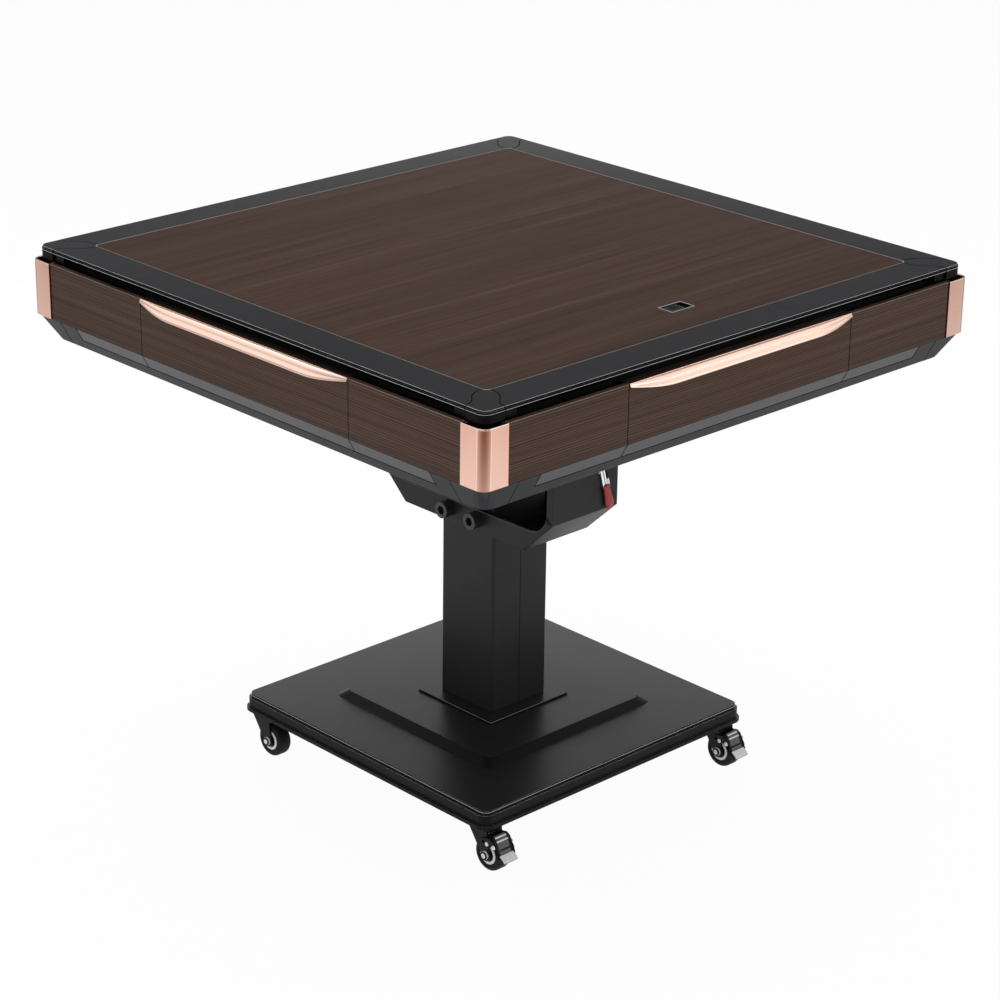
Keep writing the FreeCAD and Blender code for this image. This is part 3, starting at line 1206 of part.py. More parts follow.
def make_tile_lifts():
    """Square lift frame with four blades that fill the tile slots."""
    slot_in = "(slot_place - slot_width / 2)"
    out = f"({slot_in} + seam + lift_web)"
    low_zs = ("lift_frame_low", "lift_frame_low + lift_frame_thick")
    ring = cut("lift_ring", square("lift_ring_outside", out, low_zs),
               square("lift_ring_window", f"{out} - lift_frame_width",
                      ("lift_frame_low - overrun", "guide_top + overrun")))
    half = "(slot_length / 2 - seam)"
    webs = four_sides("lift_web", lambda name: group(name, slab(
        name + "_plate", (f"-{half}", half), (f"-{out}", f"-{out} + lift_web"), (low_zs[0], FELT_TOP))))
    blades = four_sides("lift_blade", lambda name: group(name, slab(
        name + "_plate", (f"-{half}", half), (f"-(slot_place + slot_width / 2 - seam)", f"-{out} + lift_web"),
        (f"{FELT_TOP} - lift_blade_thick", FELT_TOP))))
    node("tile_lifts", fuse("tile_lifts", ring, *webs, *blades))


def make_console():
    """Centre console on its lifting stem, with the dice bowl and the roll button."""
    top = "(console_low + console_thick)"
    disc = lathe("console_disc", "z", [
        ("console_low", "0"), ("console_low", "console_radius - console_thick / 4"),
        (f"{top} - console_thick / 4", "console_radius"), (top, "console_radius - console_thick / 8"),
        (top, "0"),
    ])
    stem = rod("console_stem", "stem_radius", "z", ("0", "0"), ("stem_low", "console_low"))
    bowl = rod("dice_well", "dome_radius - dome_rise", "z", ("0", "0"),
               (f"{top} - console_thick / 2", f"{top} + overrun"))
    well = rod("button_well_bore", "button_radius + button_gap", "z", ("0", "-button_place"),
               (f"{top} - button_well", f"{top} + overrun"))
    node("console_body", cut("console_body", fuse("console_blank", disc, stem), bowl, well))
    ball = "((dome_radius ^ 2 + dome_rise ^ 2) / 2 / dome_rise)"
    sphere = doc.addObject("Part::Sphere", "dome_ball")
    bind(sphere, "Radius", ball)
    bind(sphere, "Placement.Base.z", f"{top} + dome_rise - {ball}")
    keep = rod("dome_keep", "dome_radius", "z", ("0", "0"), (top, f"{top} + 2 * dome_rise"))
    dome = common("dice_dome", sphere, keep)
    node("dice_dome", dome)
    button = rod("dice_button", "button_radius", "z", ("0", "-button_place"),
                 (f"{top} + button_rise - button_height", f"{top} + button_rise"))
    node("dice_button", button)


def make_drum():
    """Tile drum on the guide, its rubber drive roller and the geared motor below."""
    disc_top = "(drum_low + drum_thick)"
    bore = "(stem_radius + fit + guide_wall + fit)"
    drum = lathe("tile_drum", "z", [
        ("drum_low", bore), ("drum_low", "drum_radius"), ("drum_low + drum_rim_height", "drum_radius"),
        ("drum_low + drum_rim_height", "drum_radius - drum_rim_wall"),
        (disc_top, "drum_radius - drum_rim_wall"),
        (disc_top, "drum_hub_radius"), ("drum_low + drum_hub_height", "drum_hub_radius - drum_thick"),
        ("drum_low + drum_hub_height", bore),
    ])
    node("tile_drum", drum)
    roller_low = f"({RING_TOP} + motor_plate_thick + roller_lift)"
    wheel = rod("roller_wheel", "roller_radius", "z", (ROLLER_PLACE, ROLLER_PLACE),
                (roller_low, f"{roller_low} + roller_height"))
    shaft = rod("roller_shaft", "roller_shaft_radius", "z", (ROLLER_PLACE, ROLLER_PLACE),
                (f"{roller_low} - roller_shaft_length", roller_low))
    node("drive_roller", fuse("drive_roller", wheel, shaft))
    can = rod("motor_can", "motor_radius", "z", (ROLLER_PLACE, ROLLER_PLACE),
              (f"{RING_TOP} - motor_length", RING_TOP))
    hole = rod("motor_bore", "roller_shaft_radius + fit", "z", (ROLLER_PLACE, ROLLER_PLACE),
               (f"{roller_low} - roller_shaft_length - rest_gap", f"{RING_TOP} + overrun"))
    node("drum_motor", cut("drum_motor", can, hole))


def make_electrics():
    """Control box on the pan, and the power inlet with its rocker switch in the pan's floor."""
    node("control_box", slab("control_box", about("-box_place", "box_length"), about("0", "box_width"),
                             ("pan_low + pan_wall", "pan_low + pan_wall + box_height")))
    low = "(pan_low - inlet_flange)"
    body = fuse("inlet_blank", inlet_block("inlet_plate", "(-inlet_reach)", (low, "pan_low")),
                inlet_block("inlet_body", "(inlet_margin + rest_gap)", ("pan_low", f"{low} + inlet_height")))
    socket = slab("inlet_socket", about("(inlet_place_x - socket_shift)", "socket_length"),
                  about("inlet_place_y", "socket_width"), (f"{low} - overrun", f"{low} + socket_depth"))
    rocker_x = "(inlet_place_x + rocker_shift)"
    hole = slab("rocker_hole", about(rocker_x, "(rocker_length + 2 * rest_gap)"),
                about("inlet_place_y", "(rocker_width + 2 * rest_gap)"),
                (f"{low} - overrun", f"{low} + rocker_depth"))
    pin_hole = rod("rocker_pin_hole", "rocker_pin_radius + fit", "y", (rocker_x, f"{low} + rocker_depth / 2"),
                   about("inlet_place_y", "(rocker_width + inlet_margin)"))
    node("power_inlet", cut("power_inlet", body, socket, hole, pin_hole))
    wedge = prism("rocker_wedge", "y", [
        (f"{rocker_x} - rocker_length / 2 + rocker_crown", f"{low} - rocker_crown / 2"),
        (rocker_x, f"{low} + rocker_crown / 2"),
        (f"{rocker_x} + rocker_length / 2 - rocker_crown", f"{low} - rocker_crown / 2"),
        (f"{rocker_x} + rocker_length / 4", f"{low} + rocker_depth / 2 + rocker_pin_radius"),
        (f"{rocker_x} - rocker_length / 4", f"{low} + rocker_depth / 2 + rocker_pin_radius"),
    ], about("inlet_place_y", "rocker_width"))
    pin = rod("rocker_pin", "rocker_pin_radius", "y", (rocker_x, f"{low} + rocker_depth / 2"),
              about("inlet_place_y", "(rocker_width + inlet_margin / 2)"))
    node("power_rocker", fuse("power_rocker", wedge, pin))


make_base()
make_column()
make_cradle()
make_casters()
make_latch()
make_head_frame()
make_pan()
make_skirt()
make_fascia()
make_corner_caps()
make_top_frame()
make_play_board()
make_cover()
make_drawers()
make_tile_lifts()
make_console()
make_drum()
make_electrics()
doc.recompute()

failed = [item.Name for item in doc.Objects if {"Invalid", "Error"} & set(item.State)]
for item in NODES:
    if item.Shape.isNull() or not item.Shape.isValid() or not item.Shape.Solids:
        failed.append(item.Label)
if failed:
    raise RuntimeError("objects that failed: " + ", ".join(failed))
os.makedirs("parts", exist_ok=True)
for item in NODES:
    item.Shape.exportStep(f"parts/{item.Label}.step")
print(len(NODES), "sub-parts written")
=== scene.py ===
"""Looks of an automatic mahjong table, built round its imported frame."""
import json
import logging
import math
from dataclasses import dataclass
from enum import Enum
from typing import Iterable, Sequence

import bmesh
import bpy
from mathutils import Matrix, Vector


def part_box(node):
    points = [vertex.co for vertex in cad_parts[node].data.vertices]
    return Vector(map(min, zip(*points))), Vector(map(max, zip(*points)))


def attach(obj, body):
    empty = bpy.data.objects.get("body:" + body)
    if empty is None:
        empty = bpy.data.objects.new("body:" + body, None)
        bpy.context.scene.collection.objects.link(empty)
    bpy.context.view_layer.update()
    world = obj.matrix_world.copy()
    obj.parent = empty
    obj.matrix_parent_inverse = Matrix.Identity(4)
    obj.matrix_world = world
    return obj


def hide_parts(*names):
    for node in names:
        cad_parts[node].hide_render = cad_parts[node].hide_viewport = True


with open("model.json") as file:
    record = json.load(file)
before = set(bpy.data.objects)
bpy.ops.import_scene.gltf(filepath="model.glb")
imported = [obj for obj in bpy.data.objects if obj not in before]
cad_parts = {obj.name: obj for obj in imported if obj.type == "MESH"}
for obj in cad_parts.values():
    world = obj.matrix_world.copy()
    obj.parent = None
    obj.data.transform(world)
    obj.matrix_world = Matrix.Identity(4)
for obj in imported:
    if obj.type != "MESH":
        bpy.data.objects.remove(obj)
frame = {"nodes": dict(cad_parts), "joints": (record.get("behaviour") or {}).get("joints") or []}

log = logging.getLogger("mahjong_table")

MM = 0.001
Colour = tuple[float, float, float]
Point2 = tuple[float, float]
Point3 = tuple[float, float, float]
Stop = tuple[float, Colour]

WHITE: Colour = (1.0, 1.0, 1.0)
BLACK: Colour = (0.0, 0.0, 0.0)


class Side(Enum):
    """A side of the table and its turn about Z from the front, in degrees."""

    FRONT = 0
    RIGHT = 90
    REAR = 180
    LEFT = 270

    @property
    def label(self) -> str:
        """Name of the side as the nodes spell it."""
        return self.name.lower()

    @property
    def turn(self) -> Matrix:
        """Rotation that brings a piece made for the front to this side."""
        return Matrix.Rotation(math.radians(self.value), 4, "Z")


class Axis(Enum):
    """Axis that an outline is extruded or turned along."""

    X = 0
    Y = 1
    Z = 2

    def place(self, along: float, first: float, second: float) -> Vector:
        """Point from its distance along the axis and its two other coordinates.

        Args:
            along: The distance along the axis.
            first: The first other coordinate, in the order x, y, z.
            second: The second other coordinate.

        Returns:
            The point.
        """
        rest = [first, second]
        rest.insert(self.value, along)
        return Vector(rest)


class Wire:
    """An output socket, with arithmetic that adds Math nodes."""

    def __init__(self, graph: "Graph", socket: bpy.types.NodeSocket | None) -> None:
        """Wrap a socket of a graph."""
        self.graph = graph
        self.socket = socket

    def other(self, output: int | str) -> "Wire":
        """Another output of the same node."""
        return Wire(self.graph, self.socket.node.outputs[output])

    def maths(self, operation: str, *terms: "Wire | float") -> "Wire":
        """Add a Math node.

        Args:
            operation: Blender's name of the operation.
            terms: The values or links of its sockets.

        Returns:
            The node's output.
        """
        return self.graph.add("ShaderNodeMath", {"operation": operation}, dict(enumerate(terms)))

    def __add__(self, other: "Wire | float") -> "Wire":
        """Sum."""
        return self.maths("ADD", self, other)

    __radd__ = __add__

    def __sub__(self, other: "Wire | float") -> "Wire":
        """Difference."""
        return self.maths("SUBTRACT", self, other)

    def __rsub__(self, other: float) -> "Wire":
        """Difference from a number."""
        return self.maths("SUBTRACT", other, self)

    def __mul__(self, other: "Wire | float") -> "Wire":
        """Product."""
        return self.maths("MULTIPLY", self, other)

    __rmul__ = __mul__

    def __pow__(self, other: "Wire | float") -> "Wire":
        """Power."""
        return self.maths("POWER", self, other)

    def between(self, low: float, high: float) -> "Wire":
        """Ramp that is 0 at low and 1 at high, held within those."""
        return self.graph.add("ShaderNodeMapRange", {"clamp": True}, {0: self, 1: low, 2: high, 3: 0.0, 4: 1.0})

    def near(self, low: float, high: float, soft: float = 0.06) -> "Wire":
        """Window that is 1 from low to high and falls to 0 on both sides."""
        return self.between(low - soft, low + soft) * (1 - self.between(high - soft, high + soft))


class Graph:
    """Node tree of a material or of the world."""

    def __init__(self, owner: bpy.types.Material | bpy.types.World) -> None:
        """Empty a node tree to build in.

        Args:
            owner: The material or the world that has the tree.
        """
        owner.use_nodes = True
        self.owner = owner
        self.tree = owner.node_tree
        self.tree.nodes.clear()

    def add(self, kind: str, settings: dict | None = None, values: dict | None = None, out: int = 0) -> Wire:
        """Add a node, set it up and fill its sockets.

        Args:
            kind: The node's type.
            settings: Properties set first; "stops" holds a ramp's places and colours.
            values: Numbers, tuples or wires by socket name or number.
            out: The number of the output to wrap.

        Returns:
            The output chosen, empty for a node without outputs.
        """
        node = self.tree.nodes.new(kind)
        for key, value in (settings or {}).items():
            if key == "stops":
                self.fill_ramp(node.color_ramp, value)
            else:
                setattr(node, key, value)
        for key, value in (values or {}).items():
            if isinstance(value, Wire):
                self.tree.links.new(value.socket, node.inputs[key])
            else:
                node.inputs[key].default_value = value
        return Wire(self, node.outputs[out] if node.outputs else None)

    @staticmethod
    def fill_ramp(ramp: bpy.types.ColorRamp, stops: Sequence[Stop]) -> None:
        """Set the stops of a colour ramp.

        Args:
            ramp: The ramp.
            stops: Their places and colours.
        """
        while len(ramp.elements) < len(stops):
            ramp.elements.new(1.0)
        for element, (place, colour) in zip(ramp.elements, stops):
            element.position = place
            element.color = (*colour, 1.0)

    def spot(self) -> Wire:
        """Place on the piece in metres, in the table's own frame."""
        return self.add("ShaderNodeTexCoord", out=3)

    def parts(self, vector: Wire) -> tuple[Wire, Wire, Wire]:
        """Split a vector into its three parts."""
        x = self.add("ShaderNodeSeparateXYZ", values={0: vector})
        return x, x.other(1), x.other(2)

    def facing(self) -> tuple[Wire, Wire, Wire]:
        """Parts of the direction that the surface faces, before any relief."""
        return self.parts(self.add("ShaderNodeNewGeometry", out=1))

    def vector(self, x: "Wire | float", y: "Wire | float", z: "Wire | float") -> Wire:
        """Join three values into a vector."""
        return self.add("ShaderNodeCombineXYZ", values={0: x, 1: y, 2: z})

    def scaled(self, vector: Wire, factors: Point3) -> Wire:
        """Multiply a vector part by part."""
        return self.add("ShaderNodeVectorMath", {"operation": "MULTIPLY"}, {0: vector, 1: factors})

    def noise(self, vector: Wire, scale: float, detail: float = 3.0, roughness: float = 0.5) -> Wire:
        """Fractal noise from 0 to 1."""
        return self.add("ShaderNodeTexNoise",
                        values={"Vector": vector, "Scale": scale, "Detail": detail, "Roughness": roughness})

    def mix(self, factor: "Wire | float", first: "Wire | Colour", second: "Wire | Colour") -> Wire:
        """Blend two colours."""
        ends = [c if isinstance(c, Wire) else (*c, 1.0) for c in (first, second)]
        return self.add("ShaderNodeMix", {"data_type": "RGBA"}, {0: factor, 6: ends[0], 7: ends[1]}, out=2)

    def ramp(self, factor: Wire, *stops: Stop) -> Wire:
        """Colour ramp."""
        return self.add("ShaderNodeValToRGB", {"stops": stops}, {0: factor})

    def bump(self, height: Wire, depth: float, strength: float) -> Wire:
        """Normal from a relief whose height of 1 stands for a depth in metres."""
        return self.add("ShaderNodeBump", values={"Height": height, "Distance": depth, "Strength": strength})

    def close(self, **sockets: "Wire | float | Colour") -> bpy.types.Material:
        """Add the surface shader and the output.

        Args:
            sockets: Values of the shader's sockets, with _ for a space in their names.

        Returns:
            The finished material.
        """
        values = {}
        for key, value in sockets.items():
            if isinstance(value, tuple) and len(value) == 3:
                value = (*value, 1.0)
            values[key.replace("_", " ")] = value
        shader = self.add("ShaderNodeBsdfPrincipled", values=values)
        self.add("ShaderNodeOutputMaterial", values={"Surface": shader})
        return self.owner


def shade(colour: Colour, factor: float) -> Colour:
    """Scale a colour."""
    return tuple(min(1.0, c * factor) for c in colour)


@dataclass(frozen=True)
class Finish:
    """A surface finish: its material is made once and shared."""

    name: str
    slot: str

    def build(self, graph: Graph) -> bpy.types.Material:
        """Fill the material's nodes."""
        raise NotImplementedError

    def material(self) -> bpy.types.Material:
        """The finish's material, made on first use."""
        made = bpy.data.materials.get(self.name)
        return made or self.build(Graph(bpy.data.materials.new(self.name)))


@dataclass(frozen=True)
class Laminate(Finish):
    """Wood-grain laminate with its grain along X, or along the side it stands on."""

    dark: Colour = (0.032, 0.019, 0.014)
    middle: Colour = (0.068, 0.041, 0.031)
    light: Colour = (0.125, 0.082, 0.062)
    upright: bool = False
    contrast: float = 1.0
    gloss: float = 0.42
    lines: float = 300.0
    bands: float = 30.0
    sway: float = 0.012
    band_share: float = 0.28
    shine: float = 0.35
    # Strength of the painted highlight along the top edge, then its colour.
    edge: float = 0.0
    edge_colour: Colour = (0.42, 0.31, 0.25)
    ridge: float = 0.0
    ridge_pitch: float = 0.0032
    ridge_drift: float = 11.0
    fine_lines: float = 900.0
    fine_share: float = 0.22
    pore_lines: float = 1500.0
    pore_relief: float = 0.00018

    def build(self, graph: Graph) -> bpy.types.Material:
        """Long streaks of three widths over slow bands, with pores pressed in and a painted highlight along the top
        edge.

        Args:
            graph: The material's empty node tree.

        Returns:
            The finished material.
        """
        x, y, z = graph.parts(graph.spot())
        along, across = (x + y, z) if self.upright else (x, y)
        sway = graph.noise(graph.vector(along * 1.4, across * 2.0, 0.0), 1.6, 2.0)
        crossed = across + (sway - 0.5) * self.sway
        fine = graph.noise(graph.vector(along * 8.0, crossed * self.fine_lines, 0.0), 1.0, 3.0, 0.65)
        streak = graph.noise(graph.vector(along * 2.6, crossed * self.lines, 3.7), 1.0, 1.0, 0.5)
        band = graph.noise(graph.vector(along * 0.8, crossed * self.bands, 8.1), 1.0, 2.0, 0.5)
        tone = fine * self.fine_share + band * self.band_share
        tone = tone + streak * (1.0 - self.fine_share - self.band_share)
        tone = (tone - 0.5) * (2.6 * self.contrast) + 0.5
        if self.ridge:
            drift = graph.noise(graph.vector(along * 3.0, crossed * 90.0, 2.2), 1.0, 3.0) * self.ridge_drift
            wave = crossed * (math.tau / self.ridge_pitch) + drift
            tone = tone + wave.maths("SINE", wave) * self.ridge
        colour = graph.ramp(tone, (0.08, self.dark), (0.5, self.middle), (0.95, self.light))
        pore = graph.noise(graph.vector(along * 14.0, crossed * self.pore_lines, 5.0), 1.0, 2.0).between(0.60, 0.72)
        colour = graph.mix(pore * (0.4 * self.contrast), colour, shade(self.dark, 0.55))
        # Painted highlight: a lighter colour on the rounded top edge.
        if self.edge:
            _, _, up = graph.facing()
            colour = graph.mix(up.near(0.25, 0.85) * self.edge, colour, self.edge_colour)
        rough = self.gloss + (streak - 0.5) * 0.12 + pore * 0.15
        normal = graph.bump(fine * 0.6 + (1 - pore) * 0.4, self.pore_relief, 0.5)
        return graph.close(Base_Color=colour, Roughness=rough, Normal=normal, Specular_IOR_Level=self.shine)


@dataclass(frozen=True)
class Coating(Finish):
    """Sprayed or moulded surface with a fine texture, and a painted highlight along its rounded edges and painted
    shade on its sides where it has them.
    """

    colour: Colour = (0.02, 0.02, 0.021)
    roughness: float = 0.45
    grain: float = 1400.0
    relief: float = 0.00006
    mottle: float = 0.12
    coat: float = 0.0
    shine: float = 0.5
    # Share of the colour kept on faces that don't face up: painted shade on the sides.
    upright_share: float = 1.0
    # Strength of the painted highlight along rounded edges, then the slopes it spans and its colour.
    edge: float = 0.0
    edge_span: Point2 = (0.2, 0.72)
    edge_colour: Colour = (0.62, 0.62, 0.63)
    joint_colour: Colour = (0.0006, 0.0006, 0.0006)
    coat_rough: float = 0.25
    level_span: Point2 = (0.80, 0.97)

    def tint(self, graph: Graph, colour: Wire) -> Wire:
        """Colour after anything drawn on it."""
        return colour

    def joint(self, graph: Graph) -> Wire | None:
        """Mask of the dark joints, where it has any."""
        return None

    def build(self, graph: Graph) -> bpy.types.Material:
        """Even colour with a slow mottle, a fine orange-peel relief and faint rubbing, with painted shade and painted
        highlights where they are set.

        Args:
            graph: The material's empty node tree.

        Returns:
            The finished material.
        """
        spot = graph.spot()
        slow = graph.noise(spot, 7.0, 3.0)
        peel = graph.noise(spot, self.grain, 2.0, 0.6)
        rubbed = graph.noise(spot, 38.0, 4.0, 0.7).between(0.52, 0.75)
        colour = graph.mix(slow, shade(self.colour, 1 - self.mottle), shade(self.colour, 1 + self.mottle))
        colour = graph.mix(rubbed * 0.25, colour, shade(self.colour, 1 + 2 * self.mottle))
        coat = self.coat
        _, _, up = graph.facing()
        # Painted shade: faces that don't face up are darkened, and the coat stays on faces that face up.
        if self.upright_share < 1:
            level = up.between(*self.level_span)
            colour = graph.mix(level, shade(self.colour, self.upright_share), colour)
            coat = level * self.coat
        # Painted highlight: a light band on the rounded edges, picked by how far they face up.
        if self.edge:
            colour = graph.mix(up.near(*self.edge_span) * self.edge, colour, self.edge_colour)
        rough = self.roughness + (slow - 0.5) * 0.08 - rubbed * 0.04
        colour = self.tint(graph, colour)
        joint = self.joint(graph)
        if joint is not None:
            colour = graph.mix(joint, colour, self.joint_colour)
            coat = (1 - joint) * coat
            rough = rough + joint * 0.4
        normal = graph.bump(peel, self.relief, 0.7)
        return graph.close(Base_Color=colour, Roughness=rough, Normal=normal, Coat_Weight=coat,
                           Coat_Roughness=self.coat_rough, Specular_IOR_Level=self.shine)


@dataclass(frozen=True)
class SeamedCoating(Coating):
    """Coating of the top frame, with the dark joints where its corner pieces meet its rails."""

    path: tuple[Point2, ...] = ((0.3970, 0.38755), (0.4100, 0.3908), (0.4190, 0.3953), (0.4370, 0.4133),
                                (0.4500, 0.41605))
    half_width: float = 0.0008
    fade: float = 0.0004

    def joint(self, graph: Graph) -> Wire:
        """Line along the joint's path, mirrored to every corner.

        Args:
            graph: The material's node tree.

        Returns:
            Mask that is 1 in the joint.
        """
        x, y, _ = graph.parts(graph.spot())
        x, y = x.maths("ABSOLUTE", x), y.maths("ABSOLUTE", y)
        outer, inner = x.maths("MAXIMUM", x, y), x.maths("MINIMUM", x, y)
        line = self.path[0][1]
        for (low, first), (high, last) in zip(self.path, self.path[1:]):
            line = line + outer.between(low, high) * (last - first)
        away = inner - line
        return 1 - away.maths("ABSOLUTE", away).between(self.half_width, self.half_width + self.fade)


@dataclass(frozen=True)
class RimmedPlate(Coating):
    """Dark plate with a bright line along its outline."""

    middle: Point2 = (0.0, 0.0)
    half: Point2 = (0.01, 0.01)
    rim: float = 0.0013
    rim_colour: Colour = (0.42, 0.42, 0.43)
    fade: float = 0.0003

    def tint(self, graph: Graph, colour: Wire) -> Wire:
        """Bright within the rim's width of the outline.

        Args:
            graph: The material's node tree.
            colour: The plate's own colour.

        Returns:
            The colour with its rim.
        """
        x, y, _ = graph.parts(graph.spot())
        gaps = [side - part.maths("ABSOLUTE", part) for part, side in
                ((x - self.middle[0], self.half[0]), (y - self.middle[1], self.half[1]))]
        least = x.maths("MINIMUM", *gaps)
        return graph.mix(1 - least.between(self.rim, self.rim + self.fade), colour, self.rim_colour)


@dataclass(frozen=True)
class Metal(Finish):
    """Bare, plated or anodised metal with a drawn grain along one axis."""

    colour: Colour = (0.62, 0.62, 0.64)
    roughness: float = 0.28
    grain_axis: Axis = Axis.Z
    grain: float = 0.05
    scratches: float = 1600.0
    drawn_out: float = 0.02

    def tint(self, graph: Graph, colour: Wire) -> Wire:
        """Colour after anything that shades it."""
        return colour

    def build(self, graph: Graph) -> bpy.types.Material:
        """Metallic base with long fine scratches and faint smudges.

        Args:
            graph: The material's empty node tree.

        Returns:
            The finished material.
        """
        spot = graph.spot()
        stretch = [1.0, 1.0, 1.0]
        stretch[self.grain_axis.value] = self.drawn_out
        lines = graph.noise(graph.scaled(spot, tuple(stretch)), self.scratches, 2.0, 0.7)
        smudge = graph.noise(spot, 24.0, 3.0, 0.6)
        colour = self.tint(graph, graph.mix(smudge, shade(self.colour, 0.97), shade(self.colour, 1.02)))
        rough = self.roughness + (lines - 0.5) * (2 * self.grain) + (smudge - 0.5) * 0.03
        normal = graph.bump(lines, 0.00001, 0.2)
        return graph.close(Base_Color=colour, Metallic=1.0, Roughness=rough, Normal=normal)


@dataclass(frozen=True)
class CapMetal(Metal):
    """Anodised corner skin: deeper towards its top, with painted shade round its bend and painted highlights beside
    the bend and along its top edge.
    """

    low: float = 0.672
    high: float = 0.7515
    # Colour of the painted shade round the bend.
    bend: Colour = (0.20, 0.068, 0.034)
    deep: Colour = (0.74, 0.40, 0.29)
    # Colour of the painted highlights.
    pale: Colour = (1.0, 0.84, 0.76)
    lip: float = 0.003

    def tint(self, graph: Graph, colour: Wire) -> Wire:
        """Colour the drawn metal deeper by height, with painted shade round the bend and painted highlights beside it
        and at the top edge.

        Args:
            graph: The material's node tree.
            colour: The metal's own colour.

        Returns:
            The shaded colour.
        """
        _, _, z = graph.parts(graph.spot())
        x, y, up = graph.facing()
        height = z.between(self.low, self.high)
        colour = graph.mix(height ** 1.3 * 0.75, colour, self.deep)
        turn = ((x * y) ** 2) ** 0.5 * 2.0
        # Painted highlight: light streaks just beside the bend.
        colour = graph.mix(turn.near(0.03, 0.22, 0.04) * 0.55, colour, self.pale)
        # Painted shade: a dark band round the bend, stronger towards the top and stopping below the top lip.
        band = turn.between(0.12, 1.0) ** 0.8 * (0.62 + height * 0.38)
        colour = graph.mix(band * (1 - z.between(self.high - self.lip, self.high)), colour, self.bend)
        # Painted highlight along the rounded top edge.
        return graph.mix(up.near(0.15, 0.95), colour, self.pale)


@dataclass(frozen=True)
class Bead(Coating):
    """Pale edge bead whose outer part is a black seal."""

    split: float = 0.3957
    fade: float = 0.0001
    seal: Colour = (0.002, 0.002, 0.002)

    def tint(self, graph: Graph, colour: Wire) -> Wire:
        """Black beyond the split from the middle of the table.

        Args:
            graph: The material's node tree.
            colour: The bead's own colour.

        Returns:
            The colour with its seal.
        """
        x, y, _ = graph.parts(graph.spot())
        reach = x.maths("MAXIMUM", x * x, y * y) ** 0.5
        outer = reach.between(self.split - self.fade, self.split + self.fade)
        return graph.mix(outer, colour, self.seal)


@dataclass(frozen=True)
class Felt(Finish):
    """Short-pile cloth."""

    colour: Colour = (0.012, 0.10, 0.085)

    def build(self, graph: Graph) -> bpy.types.Material:
        """Soft mottled pile with a sheen.

        Args:
            graph: The material's empty node tree.

        Returns:
            The finished material.
        """
        spot = graph.spot()
        pile = graph.noise(spot, 2200.0, 3.0, 0.8)
        brushed = graph.noise(graph.scaled(spot, (1.0, 0.25, 1.0)), 90.0, 3.0)
        wear = graph.noise(spot, 5.0, 3.0)
        colour = graph.mix(pile, shade(self.colour, 0.7), shade(self.colour, 1.3))
        colour = graph.mix(brushed * 0.35 + wear * 0.15, colour, shade(self.colour, 1.7))
        normal = graph.bump(pile * 0.7 + brushed * 0.3, 0.0005, 0.6)
        return graph.close(Base_Color=colour, Roughness=0.95, Normal=normal, Sheen_Weight=0.3)


@dataclass(frozen=True)
class Rubber(Finish):
    """Matte rubber."""

    colour: Colour = (0.007, 0.007, 0.0075)

    def build(self, graph: Graph) -> bpy.types.Material:
        """Dull black with dusty patches.

        Args:
            graph: The material's empty node tree.

        Returns:
            The finished material.
        """
        spot = graph.spot()
        dust = graph.noise(spot, 60.0, 4.0, 0.7).between(0.45, 0.8)
        skin = graph.noise(spot, 1800.0, 2.0)
        colour = graph.mix(dust * 0.5, self.colour, shade(self.colour, 2.2))
        return graph.close(Base_Color=colour, Roughness=0.62 + dust * 0.2, Normal=graph.bump(skin, 0.0001, 0.6),
                           Specular_IOR_Level=0.2)


@dataclass(frozen=True)
class Clear(Finish):
    """Clear moulded dome."""

    def build(self, graph: Graph) -> bpy.types.Material:
        """Thin glassy skin that lets what is under it show."""
        haze = graph.noise(graph.spot(), 45.0, 3.0)
        return graph.close(Base_Color=(0.9, 0.95, 0.95), Roughness=0.04 + haze * 0.05, Alpha=0.16 + haze * 0.06)


TOP_WOOD = Laminate("table_top_laminate", "dark_wood", dark=(0.034, 0.0185, 0.0130), middle=(0.057, 0.032, 0.0225),
                    light=(0.092, 0.056, 0.040), contrast=0.95, lines=380.0, shine=0.04)
# The fascia boards carry a painted highlight on their top edge.
FASCIA_WOOD = Laminate("fascia_laminate", "dark_wood", dark=(0.034, 0.020, 0.0145), middle=(0.080, 0.050, 0.0375),
                       light=(0.140, 0.094, 0.073), upright=True, contrast=0.5, gloss=0.5, lines=700.0,
                       bands=110.0, sway=0.0008, band_share=0.3, shine=0.05, edge=0.8, ridge=0.2)
# Painted shade on the base's sides and a painted highlight on its edges.
STAND_BLACK = Coating("stand_powder_coat", "base_paint", (0.009, 0.009, 0.0093), 0.38, 1500.0, 0.00005, coat=0.72,
                      shine=0.1, upright_share=0.55, edge=0.4, coat_rough=0.36)
# Painted highlight on the column's edges.
COLUMN_BLACK = Coating("column_powder_coat", "base_paint", (0.013, 0.013, 0.0135), 0.42, 1500.0, 0.00005, shine=0.22,
                       edge=0.3)
# Nearly black sides as painted shade, and a painted highlight on the frame's edges.
FRAME_BLACK = SeamedCoating("top_frame_satin", "frame_plastic", (0.0135, 0.0135, 0.0165), 0.34, 1900.0, 0.00003,
                            coat=0.4, shine=0.08, upright_share=0.06, edge=0.9)
# Painted highlight along the skirt's lower edges.
SKIRT_GREY = Coating("skirt_moulding", "skirt_plastic", (0.0135, 0.0130, 0.0165), 0.42, 1500.0, 0.00006, shine=0.12,
                     edge=0.5, edge_span=(-0.88, -0.68))
STRIP_GREY = Coating("light_strip_moulding", "skirt_plastic", (0.057, 0.053, 0.062), 0.36, 1500.0, 0.00004,
                     shine=0.2)
